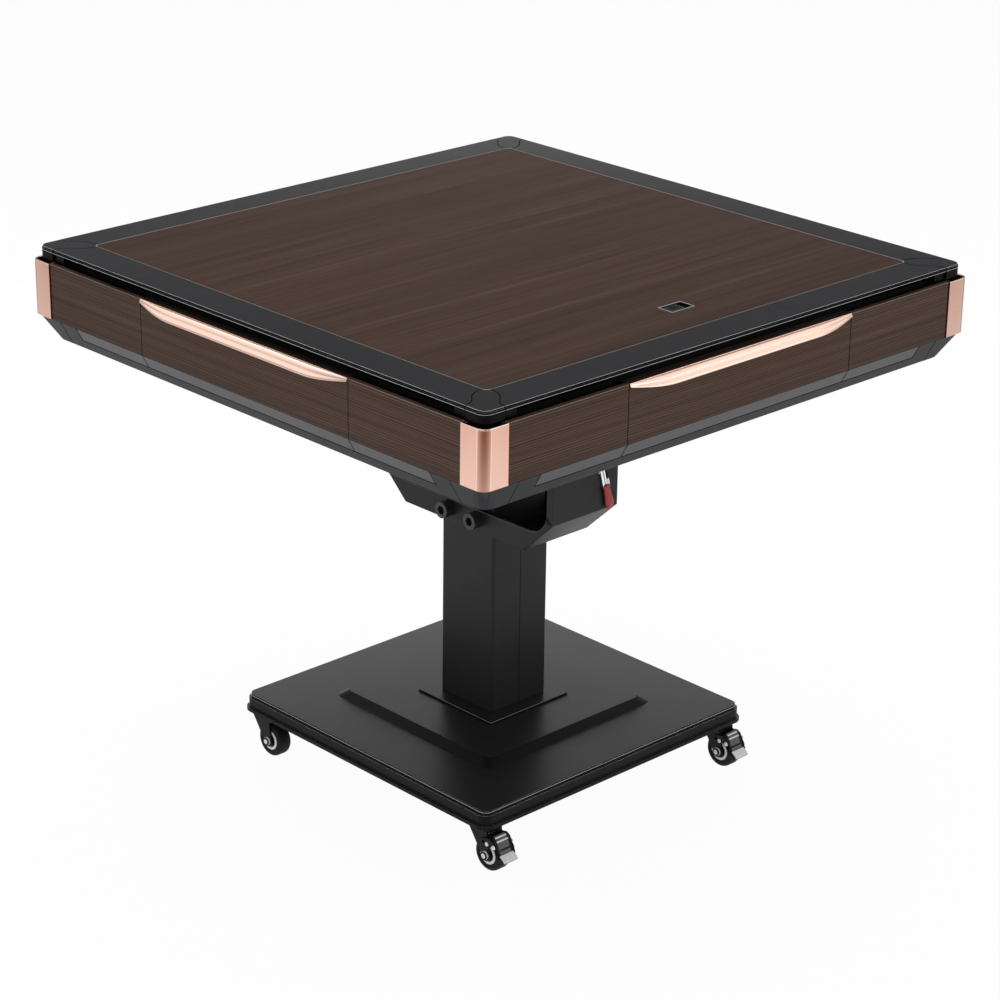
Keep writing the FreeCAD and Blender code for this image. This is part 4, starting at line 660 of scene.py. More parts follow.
# Dark paint of the steel frames, made this dark as painted shade in the gaps beside the caps and boards.
STEEL_GREY = Coating("frame_steel_paint", "frame_steel", (0.022, 0.022, 0.023), 0.5, 900.0, 0.00008)
BLACK_NYLON = Coating("black_nylon", "black_nylon", (0.014, 0.014, 0.015), 0.48, 1300.0, 0.0001, shine=0.3)
CASTER_BLACK = Coating("caster_paint", "frame_steel", (0.005, 0.005, 0.0053), 0.34, 1500.0, 0.00004, shine=0.12)
HUB_BLACK = Coating("hub_nylon", "black_nylon", (0.004, 0.004, 0.0043), 0.45, 1300.0, 0.00008, shine=0.1)
PEDAL_GREY = Coating("pedal_tread", "black_nylon", (0.075, 0.075, 0.078), 0.45, 1200.0, 0.00008)
# Light grey of the pedal's ribs and lip.
PEDAL_PALE = Coating("pedal_worn_lip", "black_nylon", (0.78, 0.78, 0.78), 0.45, 1200.0, 0.00008)
BRIGHT_PLATE = Coating("bright_plate", "chrome_steel", (0.93, 0.93, 0.94), 0.25, 1500.0, 0.00002, coat=0.4)
WHITE_PLASTIC = Coating("white_moulding", "white_plastic", (0.62, 0.62, 0.60), 0.4, 1200.0, 0.00005)
BUTTON_RED = Coating("button_red", "button_plastic", (0.42, 0.02, 0.025), 0.25, 1500.0, 0.00003, coat=0.5)
GRIP_RED = Coating("grip_red", "red_grip", (0.36, 0.028, 0.034), 0.42, 1300.0, 0.00012)
MOTOR_DARK = Coating("motor_case", "motor_steel", (0.06, 0.062, 0.066), 0.42, 1100.0, 0.00008)
# Near-black play board: a dark finish, made this dark as painted shade in the recess under the frame's rim.
BOARD_BLACK_RECESS_SHADE = Coating("board_black_melamine", "board_wood", (0.006, 0.006, 0.0065), 0.6, 800.0, 0.0001, shine=0.1)
ROSE = CapMetal("rose_anodised", "rose_metal", (0.88, 0.55, 0.445), 0.25, Axis.Z, 0.02)
HANDLE_ROSE = Metal("handle_rose", "rose_metal", (0.88, 0.62, 0.52), 0.26, Axis.X, 0.02)
RING_ROSE = Metal("ring_rose", "rose_metal", (0.90, 0.60, 0.50), 0.25, Axis.Z, 0.02)
TRIM_BRIGHT = Bead("edge_bead", "trim_metal", (0.33, 0.305, 0.29), 0.4, 1500.0, 0.00002, shine=0.2)
ZINC = Metal("zinc_plate", "zinc_steel", (0.60, 0.60, 0.62), 0.33)
BOLT_BLACK = Coating("bolt_black_oxide", "zinc_steel", (0.018, 0.018, 0.019), 0.36, 1600.0, 0.00008)
CHROME = Metal("bright_chrome", "chrome_steel", (0.86, 0.86, 0.88), 0.12, Axis.Z, 0.02)
PULL_PLATE = RimmedPlate("pull_plate", "zinc_steel", (0.004, 0.004, 0.0045), 0.3, 1500.0, 0.00003, shine=0.1,
                         middle=(0.012, -0.324), half=(0.0215, 0.0135))
PULL_LEAF = RimmedPlate("pull_leaf", "zinc_steel", (0.006, 0.006, 0.007), 0.3, 1500.0, 0.00003, shine=0.1,
                        middle=(0.0060, -0.3240), half=(0.0112, 0.0092), rim=0.0008, rim_colour=(0.12, 0.12, 0.13))
# Pale lines along the top frame's outer edge: painted highlights.
EDGE_HIGHLIGHT_LINE = Coating("worn_edge", "frame_plastic", (0.66, 0.66, 0.68), 0.35, 1500.0, 0.00003)
# Pale lines along the base's top edges: painted highlights.
BASE_HIGHLIGHT_LINE = Coating("faint_edge", "base_paint", (0.5, 0.5, 0.5), 0.35, 1500.0, 0.00003)
FELT_GREEN = Felt("play_felt", "felt")
TYRE_BLACK = Rubber("tyre_rubber", "rubber_tyre")
ROLLER_RUBBER = Rubber("roller_rubber", "roller_rubber")
DOME_CLEAR = Clear("dome_clear", "dome_glass")


def smooth(obj: bpy.types.Object, angle: float = 35.0) -> bpy.types.Object:
    """Shade a mesh smooth, with its sharp edges kept.

    Args:
        obj: The piece.
        angle: The least angle between faces that stays sharp, in degrees.

    Returns:
        The same piece.
    """
    mesh = obj.data
    mesh.polygons.foreach_set("use_smooth", [True] * len(mesh.polygons))
    mesh.set_sharp_from_angle(angle=math.radians(angle))
    return obj


WELD_GAP = 0.01
FLAT_WEIGHT = 90


def round_edges(obj: bpy.types.Object, width: float, steps: int = 2, angle: float = 13.0) -> bpy.types.Object:
    """Round a piece's sharp edges with modifiers, and keep its flats flat.

    Args:
        obj: The piece.
        width: Width of the rounding, in millimetres.
        steps: Segments across the rounding.
        angle: The least angle that counts as an edge, in degrees; arcs have facets of less.

    Returns:
        The same piece.
    """
    weld = obj.modifiers.new("weld", "WELD")
    weld.merge_threshold = WELD_GAP * MM
    bevel = obj.modifiers.new("edges", "BEVEL")
    bevel.width = width * MM
    bevel.segments = steps
    bevel.limit_method = "ANGLE"
    bevel.angle_limit = math.radians(angle)
    obj.modifiers.new("flats", "WEIGHTED_NORMAL").weight = FLAT_WEIGHT
    return obj


def wear(obj: bpy.types.Object, finish: Finish) -> bpy.types.Object:
    """Give a piece one finish.

    Args:
        obj: The piece.
        finish: Its finish.

    Returns:
        The same piece.
    """
    obj.data.materials.clear()
    obj.data.materials.append(finish.material())
    return obj


def keep(node: str, finish: Finish, edge: float = 0.6, steps: int = 2) -> bpy.types.Object:
    """Show a CAD node as it is, with rounded edges and a finish.

    Args:
        node: The node's name.
        finish: Its finish.
        edge: Width of its edge rounding in millimetres, or 0 for none.
        steps: Segments across the rounding.

    Returns:
        The node's object.
    """
    obj = frame["nodes"][node]
    wear(obj, finish)
    if edge:
        round_edges(obj, edge, steps)
    log.info("kept %s", node)
    return obj


def piece(name: str, mesh: bmesh.types.BMesh, finish: Finish, body: str,
          stands_for: Sequence[str] = ()) -> bpy.types.Object:
    """Turn a mesh into a piece of the table.

    Args:
        name: The piece's name.
        mesh: Its mesh in metres, in the table's frame; it is freed.
        finish: Its finish.
        body: The CAD body it rides on.
        stands_for: CAD nodes that it replaces.

    Returns:
        The piece.
    """
    bmesh.ops.recalc_face_normals(mesh, faces=mesh.faces)
    data = bpy.data.meshes.new(name)
    mesh.to_mesh(data)
    mesh.free()
    obj = bpy.data.objects.new(name, data)
    bpy.context.scene.collection.objects.link(obj)
    wear(obj, finish)
    smooth(obj)
    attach(obj, body)
    if stands_for:
        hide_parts(*stands_for)
    log.info("made %s", name)
    return obj


def skin(rings: Sequence[Sequence[Vector]], closed: bool = False) -> bmesh.types.BMesh:
    """Join rings of points of equal length into a skin.

    Args:
        rings: The rings, in order.
        closed: True where the last ring joins the first, and False where the end rings are filled.

    Returns:
        The mesh.
    """
    mesh = bmesh.new()
    rows = [[mesh.verts.new(p) for p in ring] for ring in rings]
    pairs = list(zip(rows, rows[1:])) + ([(rows[-1], rows[0])] if closed else [])
    for low, high in pairs:
        for i in range(len(low)):
            j = (i + 1) % len(low)
            mesh.faces.new((low[i], low[j], high[j], high[i]))
    if not closed:
        mesh.faces.new(rows[0][::-1])
        mesh.faces.new(rows[-1])
    return mesh


def bar(outline: Sequence[Point2], axis: Axis, low: float, high: float) -> bmesh.types.BMesh:
    """Extrude an outline along an axis; all sizes are in millimetres."""
    return skin([[axis.place(end, *p) * MM for p in outline] for end in (low, high)])


def turned(profile: Sequence[Point2], axis: Axis, centre: Point2, steps: int = 48) -> bmesh.types.BMesh:
    """Turn a closed profile about an axis.

    Args:
        profile: Places along the axis and radii, in millimetres.
        axis: The axis.
        centre: The axis's place on the two other axes, in millimetres.
        steps: Facets round the piece.

    Returns:
        The mesh.
    """
    rings = []
    for step in range(steps):
        angle = math.tau * step / steps
        rings.append([axis.place(a, centre[0] + r * math.cos(angle), centre[1] + r * math.sin(angle)) * MM
                      for a, r in profile])
    return skin(rings, closed=True)


def block(low: Sequence[float], high: Sequence[float]) -> bmesh.types.BMesh:
    """Box between two corners, in millimetres."""
    outline = [(low[0], low[1]), (high[0], low[1]), (high[0], high[1]), (low[0], high[1])]
    return bar(outline, Axis.Z, low[2], high[2])


def moved(mesh: bmesh.types.BMesh, matrix: Matrix) -> bmesh.types.BMesh:
    """Transform a mesh in place."""
    bmesh.ops.transform(mesh, matrix=matrix, verts=mesh.verts)
    return mesh


def joined(meshes: Iterable[bmesh.types.BMesh]) -> bmesh.types.BMesh:
    """Join meshes into one and free them.

    Args:
        meshes: The meshes.

    Returns:
        The joined mesh.
    """
    whole = bmesh.new()
    for mesh in meshes:
        data = bpy.data.meshes.new("part")
        mesh.to_mesh(data)
        mesh.free()
        whole.from_mesh(data)
        bpy.data.meshes.remove(data)
    return whole


def box_mm(node: str) -> tuple[Vector, Vector]:
    """Corners of a CAD node at rest, in millimetres."""
    low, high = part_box(node)
    return low / MM, high / MM


ARC_STEPS = 8


def edge_runs(half: float, radius: float, seam: Point2 | None = None) -> list[list[tuple[Vector, Vector]]]:
    """Runs along the edge of a rounded square, in millimetres.

    Args:
        half: Half its width.
        radius: Radius of its corners.
        seam: Places along each side where a rail ends and a corner begins, or None for one closed run.

    Returns:
        Runs of places and outward directions.
    """
    runs, whole = [], []
    for quarter in range(4):
        turn = Matrix.Rotation(math.radians(90 * quarter), 3, "Z")
        arc = []
        for step in range(ARC_STEPS + 1):
            angle = math.radians(90 * step / ARC_STEPS)
            way = Vector((math.cos(angle), math.sin(angle), 0.0))
            arc.append((Vector((half - radius, half - radius, 0.0)) + way * radius, way))
        if seam:
            rail, corner = seam
            side, up = Vector((1.0, 0.0, 0.0)), Vector((0.0, 1.0, 0.0))
            runs.append([(turn @ Vector((half, y, 0.0)), turn @ side) for y in (-rail, rail)])
            arc = [(Vector((half, corner, 0.0)), side)] + arc + [(Vector((corner, half, 0.0)), up)]
            runs.append([(turn @ place, turn @ way) for place, way in arc])
        whole += [(turn @ place, turn @ way) for place, way in arc]
    return runs or [whole]


def edge_line(name: str, half: float, radius: float, level: float, finish: Finish, body: str,
              seam: Point2 | None = None, size: float = 0.5) -> bpy.types.Object:
    """Thin line of pale finish along the edge of a rounded square plate, as a painted highlight.

    Args:
        name: The line's name.
        half: Half the plate's width, in millimetres as the other sizes.
        radius: Radius of the plate's corners.
        level: Height of the line's middle.
        finish: Its finish.
        body: The body it rides on.
        seam: Places along each side where a rail ends and a corner begins.
        size: Half the line's width.

    Returns:
        The line.
    """
    runs = []
    for run in edge_runs(half, radius, seam):
        rings = []
        for place, way in run:
            middle = place + Vector((0.0, 0.0, level))
            rise = Vector((0.0, 0.0, size))
            rings.append([p * MM for p in (middle + rise, middle + way * size, middle - rise, middle - way * size)])
        runs.append(skin(rings, closed=seam is None))
    return piece(name, joined(runs), finish, body)


@dataclass
class Stand:
    """Base, column and cradle; sizes are in millimetres."""

    plate_edge: float = 1.0
    sheet_edge: float = 1.6
    corner_start: float = 242.0
    line_size: float = 0.45
    lines: tuple[tuple[str, float, float], ...] = (("top", 253.1, 93.5), ("middle", 253.5, 90.9),
                                                   ("shoulder", 256.6, 87.6))

    def build(self) -> None:
        """Dress the stand."""
        keep("base_shell", STAND_BLACK, self.sheet_edge, 3)
        keep("base_frame", STEEL_GREY, 0.8)
        keep("column_foot", STAND_BLACK, 0.8)
        keep("column_tube", STEEL_GREY, 0.5)
        for hand in ("left", "right"):
            keep(f"column_cover_{hand}", COLUMN_BLACK, 0.5)
        keep("cradle", COLUMN_BLACK, self.plate_edge, 3)
        keep("cradle_bolts", BOLT_BLACK, 0.9, 3)
        keep("hinge_shaft", ZINC, 0.8)
        keep("caster_plates", CASTER_BLACK, 0.4)
        # Painted highlights: thin pale lines along the base's top edges.
        for name, half, level in self.lines:
            edge_line(f"base_{name}_line", half, half - self.corner_start, level, BASE_HIGHLIGHT_LINE, "stand",
                      size=self.line_size)


@dataclass
class Casters:
    """Swivel casters, two of them with brake pedals.

    Sizes are in millimetres, and the pedals' outlines are places beside the swivel and heights.
    """

    wheel_radius: float = 25.0
    half_width: float = 11.0
    rim_radius: float = 18.5
    ring_inner: float = 10.6
    ring_outer: float = 15.2
    bore: float = 4.3
    pedal_half: float = 14.0
    pad_half: float = 10.0
    lip_half: float = 12.6
    cheek_thick: float = 2.0
    nut_radius: float = 6.3
    nut_depth: float = 4.0
    trail: float = 15.0
    tyre_gap: float = 1.6
    tread_line: tuple[Point2, ...] = ((-22.5, 55.2), (-27.0, 55.6), (-31.0, 52.0), (-34.0, 46.0), (-36.6, 39.0),
                                      (-40.5, 32.6), (-46.2, 28.6), (-49.2, 26.2), (-49.9, 23.4), (-47.8, 21.6),
                                      (-44.0, 21.2))
    cheek_line: tuple[Point2, ...] = ((-7.0, 46.0), (-8.8, 50.2), (-13.0, 52.0), (-25.0, 54.6), (-31.0, 51.0),
                                      (-34.0, 45.4), (-38.0, 36.0), (-41.6, 31.0), (-41.6, 26.0), (-38.5, 38.0),
                                      (-30.0, 43.4), (-16.0, 40.6), (-10.0, 40.8))
    pad_line: tuple[Point2, ...] = ((-26.4, 56.5), (-31.6, 52.5), (-34.7, 46.2), (-37.3, 39.3), (-41.0, 33.1))
    lip_line: tuple[Point2, ...] = ((-41.4, 33.0), (-46.6, 29.8), (-49.9, 27.2), (-50.7, 24.6), (-49.6, 24.2),
                                    (-46.0, 27.2), (-42.0, 30.4))
    rib_places: tuple[Point2, ...] = ((-29.4, 54.3), (-32.9, 49.8))
    rib_radius: float = 1.3
    rivet_places: tuple[Point2, ...] = ((-20.0, 44.6), (-33.0, 44.0))
    rivet_profile: tuple[Point2, ...] = ((-0.2, 0.0), (-0.2, 3.3), (0.7, 2.8), (1.3, 1.2), (1.4, 0.0))

    @staticmethod
    def corners() -> Iterable[tuple[str, Point2]]:
        """Each corner's name and its swivel's place, in millimetres."""
        for joint in frame["joints"]:
            if joint["name"].startswith("swivel_turn_"):
                x, y, _ = (v / MM for v in joint["pos_m"])
                yield joint["name"].removeprefix("swivel_turn_"), (x, y)

    def build(self) -> None:
        """Dress each caster."""
        for corner, swivel in self.corners():
            keep(f"caster_fork_{corner}", CASTER_BLACK, 0.5)
            low, high = box_mm(f"caster_wheel_{corner}")
            centre = (low + high) / 2
            self.wheel(corner, centre)
            self.nuts(corner, centre)
            if corner.startswith("front"):
                self.pedal(corner, *swivel)

    def wheel(self, corner: str, centre: Vector) -> None:
        """Make a tyre with a crowned, grooved tread, a dished hub and a bright ring on each face.

        Args:
            corner: The caster's corner.
            centre: The wheel's centre.
        """
        x, spot = centre.x, (centre.y, centre.z)
        r, w, rim = self.wheel_radius, self.half_width, self.rim_radius
        crown = [(-w, rim), (w, rim), (w, r - 4.2), (w - 0.9, r - 2.0), (w - 2.6, r - 0.6), (w - 5, r),
                 (0.8, r), (0.4, r - 0.5), (-0.4, r - 0.5), (-0.8, r), (5 - w, r), (2.6 - w, r - 0.6),
                 (0.9 - w, r - 2.0), (-w, r - 4.2)]
        piece(f"tyre_{corner}", turned([(x + a, q) for a, q in crown], Axis.X, spot, 64), TYRE_BLACK,
              f"wheel_{corner}", [f"caster_wheel_{corner}"])
        hub = [(-w + 0.2, self.bore), (-w + 0.2, 8), (-w + 1.8, 8.6), (-w + 1.8, 13.8), (-w + 0.4, rim - 0.6),
               (-w + 0.4, rim), (w - 0.4, rim), (w - 0.4, rim - 0.6), (w - 1.8, 13.8), (w - 1.8, 8.6),
               (w - 0.2, 8), (w - 0.2, self.bore)]
        piece(f"hub_{corner}", turned([(x + a, q) for a, q in hub], Axis.X, spot, 64), HUB_BLACK,
              f"wheel_{corner}", [f"caster_wheel_{corner}"])
        rings = []
        for side in (-1, 1):
            profile = [(w - 1.9, self.ring_inner), (w - 0.7, self.ring_inner + 0.4), (w - 0.3, self.ring_inner + 1.4),
                       (w - 0.7, self.ring_outer - 0.4), (w - 1.9, self.ring_outer)]
            rings.append(turned([(x + side * a, q) for a, q in profile], Axis.X, spot, 64))
        piece(f"hub_ring_{corner}", joined(rings), BRIGHT_PLATE, f"wheel_{corner}")

    def nuts(self, corner: str, centre: Vector) -> None:
        """Make domed nuts over the fork's axle ends.

        Args:
            corner: The caster's corner.
            centre: The wheel's centre.
        """
        low, high = box_mm(f"caster_fork_{corner}")
        r = self.nut_radius
        domes = []
        for side, tip in ((-1, low.x), (1, high.x)):
            root = tip - side * self.nut_depth
            profile = [(root + side * 0.05, 0.0), (root + side * 0.05, r), (root + side * 2.2, r),
                       (root + side * 3.4, r - 1.2), (tip + side * 0.25, 3.2), (tip + side * 0.25, 0.0)]
            domes.append(turned(profile, Axis.X, (centre.y, centre.z), 32))
        piece(f"axle_nuts_{corner}", joined(domes), BRIGHT_PLATE, f"swivel_{corner}")

    def pedal(self, corner: str, x: float, y: float) -> None:
        """Make a brake pedal with a hollowed tread, cheeks, a pad with pale ribs, and rivets.

        Args:
            corner: The caster's corner.
            x: The swivel's place across the table.
            y: The swivel's place along it.
        """
        node = f"caster_pedal_{corner}"
        body = f"pedal_{corner}"
        low, high = box_mm(node)

        def placed(points: Iterable[Point2]) -> list[Point2]:
            """Points beside the swivel."""
            return [(y + a, b) for a, b in points]

        tread = placed([*self.tread_line, *self.tyre_arc()])
        mesh = bar(tread, Axis.X, x - self.pedal_half, x + self.pedal_half)
        round_edges(piece(f"pedal_tread_{corner}", mesh, CASTER_BLACK, body, [node]), 0.7, 2, 30)
        cheeks = [bar(placed(self.cheek_line), Axis.X, start, start + self.cheek_thick)
                  for start in (low.x, high.x - self.cheek_thick)]
        round_edges(piece(f"pedal_cheeks_{corner}", joined(cheeks), CASTER_BLACK, body, [node]), 0.4)
        under = [(a + 0.9, b - 0.7) for a, b in self.pad_line[::-1]]
        pad = bar(placed([*self.pad_line, *under]), Axis.X, x - self.pad_half, x + self.pad_half)
        round_edges(piece(f"pedal_pad_{corner}", pad, PEDAL_GREY, body), 0.3)
        start, end, r = x - self.pad_half, x + self.pad_half, self.rib_radius
        rib = [(start, 0.0), (start, r * 0.8), (start + 0.7, r), (end - 0.7, r), (end, r * 0.8), (end, 0.0)]
        ribs = [turned(rib, Axis.X, centre, 12) for centre in placed(self.rib_places)]
        ribs.append(bar(placed(self.lip_line), Axis.X, x - self.lip_half, x + self.lip_half))
        round_edges(piece(f"pedal_ribs_{corner}", joined(ribs), PEDAL_PALE, body), 0.3)
        rivets = [turned([(face + side * a, r) for a, r in self.rivet_profile], Axis.X, centre, 24)
                  for side, face in ((-1, low.x), (1, high.x)) for centre in placed(self.rivet_places)]
        piece(f"pedal_rivets_{corner}", joined(rivets), BRIGHT_PLATE, body)

    def tyre_arc(self) -> list[Point2]:
        """Hollow of the tread round the tyre, as places beside the swivel."""
        reach = self.wheel_radius + self.tyre_gap
        angles = [math.radians(184 - step * 9.5) for step in range(9)]
        return [(reach * math.cos(a) - self.trail, self.wheel_radius + reach * math.sin(a)) for a in angles]


@dataclass
class Latch:
    """Cross shaft, plated lever and moulded grip of the head's latch.

    Sizes are in millimetres from the pivot; a station of the grip is its height, half width and share of depth.
    """

    lean: float = 15.0
    strips: tuple[Point2, ...] = ((-5.6, -1.6), (-0.4, 2.6))
    strip_ends: Point2 = (-37.5, 6.0)
    eye: Point2 = (6.1, 8.4)
    bend: Point2 = (-9.0, -9.0)
    bend_radius: float = 3.6
    hook_start: tuple[Point2, ...] = ((-9.0, 3.0), (-5.4, -6.0))
    hook_radius: float = 0.9
    blocks: tuple[tuple[str, Finish, Point2, Point2, float], ...] = (
        ("clamp", BRIGHT_PLATE, (2.2, 6.6), (-36.6, -26.5), 0.9),
        ("stop", HUB_BLACK, (2.8, 6.2), (-26.3, -15.0), 0.7),
    )
    block_depth: float = 1.6
    facets: int = 28
    roundness: float = 0.62
    stations: tuple[Point3, ...] = ((-35.4, 5.3, 0.72), (-37.0, 5.9, 0.84), (-42.0, 5.6, 0.82), (-50.0, 5.9, 0.84),
                                    (-58.0, 6.9, 0.88), (-64.0, 7.5, 0.9), (-68.0, 7.2, 0.86), (-71.0, 6.0, 0.7),
                                    (-72.6, 3.8, 0.42))

    def build(self) -> None:
        """Dress the latch."""
        keep("latch_shaft", ZINC, 0.6)
        joint = next(j for j in frame["joints"] if j["name"] == "latch_turn")
        pivot = Vector(joint["pos_m"])
        hang = Matrix.Translation(pivot) @ Matrix.Rotation(-math.radians(self.lean), 4, "Y")
        low, high = box_mm("latch_lever")
        grip_low, grip_high = box_mm("latch_grip")
        self.lever(hang, low, high)
        self.grip(hang, grip_low.y, grip_high.y)

    def lever(self, hang: Matrix, low: Vector, high: Vector) -> None:
        """Make two plated strips on an eye, with a clamp, a stop and a spring hook.

        Args:
            hang: Where the lever hangs from.
            low: The low corner of the lever's node.
            high: Its high corner.
        """
        front, back = low.y, high.y
        bottom, top = self.strip_ends
        parts = [bar([(left, bottom), (right, bottom), (right, top), (left, top)], Axis.Y, front + 0.2, back - 0.4)
                 for left, right in self.strips]
        inner, outer = self.eye
        parts.append(turned([(front + 0.6, inner), (front + 0.6, outer), (back - 0.2, outer), (back - 0.2, inner)],
                            Axis.Y, (0.0, 0.0), 32))
        strips = moved(joined(parts), hang)
        round_edges(piece("lever_strips", strips, CHROME, "latch", ["latch_lever"]), 0.5)
        for name, finish, (left, right), (bottom, top), proud in self.blocks:
            mesh = moved(block((left, front - proud, bottom), (right, front + self.block_depth, top)), hang)
            round_edges(piece(f"lever_{name}", mesh, finish, "latch"), 0.6)
        angles = [math.radians(a) for a in range(90, -91, -30)]
        path = [*self.hook_start, *((self.bend[0] + self.bend_radius * math.cos(a),
                                     self.bend[1] + self.bend_radius * math.sin(a)) for a in angles)]
        hook = tube([Vector((x, back - 2.0, z)) * MM for x, z in path], self.hook_radius)
        piece("lever_spring_hook", moved(hook, hang), CHROME, "latch")

    def grip(self, hang: Matrix, front: float, back: float) -> None:
        """Make a grip that swells towards a rounded end.

        Args:
            hang: Where the lever hangs from.
            front: The grip's front face.
            back: Its back face.
        """
        middle, thick = (front + back) / 2, (back - front) / 2 - 0.05
        rings = []
        for place, half, share in self.stations:
            ring = []
            for step in range(self.facets):
                angle = math.tau * step / self.facets
                across, deep = (math.copysign(abs(v) ** self.roundness, v)
                                for v in (math.cos(angle), math.sin(angle)))
                ring.append(Vector((across * half, middle + deep * thick * share, place)) * MM)
            rings.append(ring)
        shape = piece("lever_grip", moved(skin(rings), hang), GRIP_RED, "latch", ["latch_grip"])
        smooth(shape, 60)


def tube(path: Sequence[Vector], radius: float, steps: int = 10) -> bmesh.types.BMesh:
    """Make a round wire.

    Args:
        path: Points along it, in metres.
        radius: Its radius, in millimetres.
        steps: Facets round it.

    Returns:
        The mesh.
    """
    rings = []
    for i, point in enumerate(path):
        ahead = (path[min(i + 1, len(path) - 1)] - path[max(i - 1, 0)]).normalized()
        side = ahead.cross(Vector((0.0, 1.0, 0.0))).normalized()
        up = side.cross(ahead)
        rings.append([point + (side * math.cos(a) + up * math.sin(a)) * radius * MM
                      for a in (math.tau * k / steps for k in range(steps))])
    return skin(rings)


FASCIA_LOW = 672.0
FASCIA_TOP = 751.5
FASCIA_THICK = 8.0
STRIP_HEIGHT = 19.0
STRIP_TOP_THICK = 7.0
STRIP_LOW_THICK = 6.0
CHAMFER = 20.0 / 35.0


def board_piece(name: str, side: Side, ends: Sequence[float], half: float, body: str,
                stands_for: Sequence[str]) -> bpy.types.Object:
    """Wood-grain board that stands on a side of the table, with eased edges."""
    mesh = block((ends[0], -half, FASCIA_LOW + 0.15), (ends[1], -half + FASCIA_THICK, FASCIA_TOP))
    return round_edges(piece(name, moved(mesh, side.turn), FASCIA_WOOD, body, stands_for), 0.6, 3)


def strip_piece(name: str, side: Side, ends: Sequence[float], half: float, body: str,
                stands_for: Sequence[str]) -> bpy.types.Object:
    """Make a light strip under the boards, flush with the skirt's chamfer, above a dark joint.

    Args:
        name: The strip's name.
        side: The side of the table.
        ends: Its two ends along the side, in millimetres.
        half: How far out the boards' faces are.
        body: The body it rides on.
        stands_for: CAD nodes that it replaces.

    Returns:
        The strip.
    """
    top, low = FASCIA_LOW - 0.2, FASCIA_LOW - STRIP_HEIGHT
    face = STRIP_HEIGHT * CHAMFER - half
    outline = [(-half, top), (STRIP_TOP_THICK - half, top), (face + STRIP_LOW_THICK, low), (face, low)]
    mesh = bar(outline, Axis.X, ends[0], ends[1])
    return round_edges(piece(name, moved(mesh, side.turn), STRIP_GREY, body, stands_for), 0.7, 3)


@dataclass
class Case:
    """Skirt, fascia boards, light strips, corner caps and pan of the head; sizes are in millimetres."""

    cap_leg: float = 42.7
    drawer_gap: float = 1.5
    strip_end: float = 359.4

    def build(self) -> None:
        """Dress the case."""
        keep("bottom_pan", STAND_BLACK, 0.8)
        keep("skirt_rails", SKIRT_GREY, 0.7)
        keep("skirt_corners", SKIRT_GREY, 0.7)
        keep("corner_caps", ROSE, 0.7, 3)
        keep("head_frame", STEEL_GREY, 0.6)
        half = box_mm("fascia_panels")[1].x
        start = box_mm("drawer_front_front")[1].x + self.drawer_gap
        board_end = box_mm("corner_caps")[1].x - self.cap_leg
        for side in Side:
            for hand, sign in (("a", -1), ("b", 1)):
                ends = sorted((sign * start, sign * board_end))
                board_piece(f"fascia_board_{side.label}_{hand}", side, ends, half, "head", ["fascia_panels"])
                ends = sorted((sign * start, sign * self.strip_end))
                strip_piece(f"light_strip_{side.label}_{hand}", side, ends, half, "head", ["fascia_panels"])


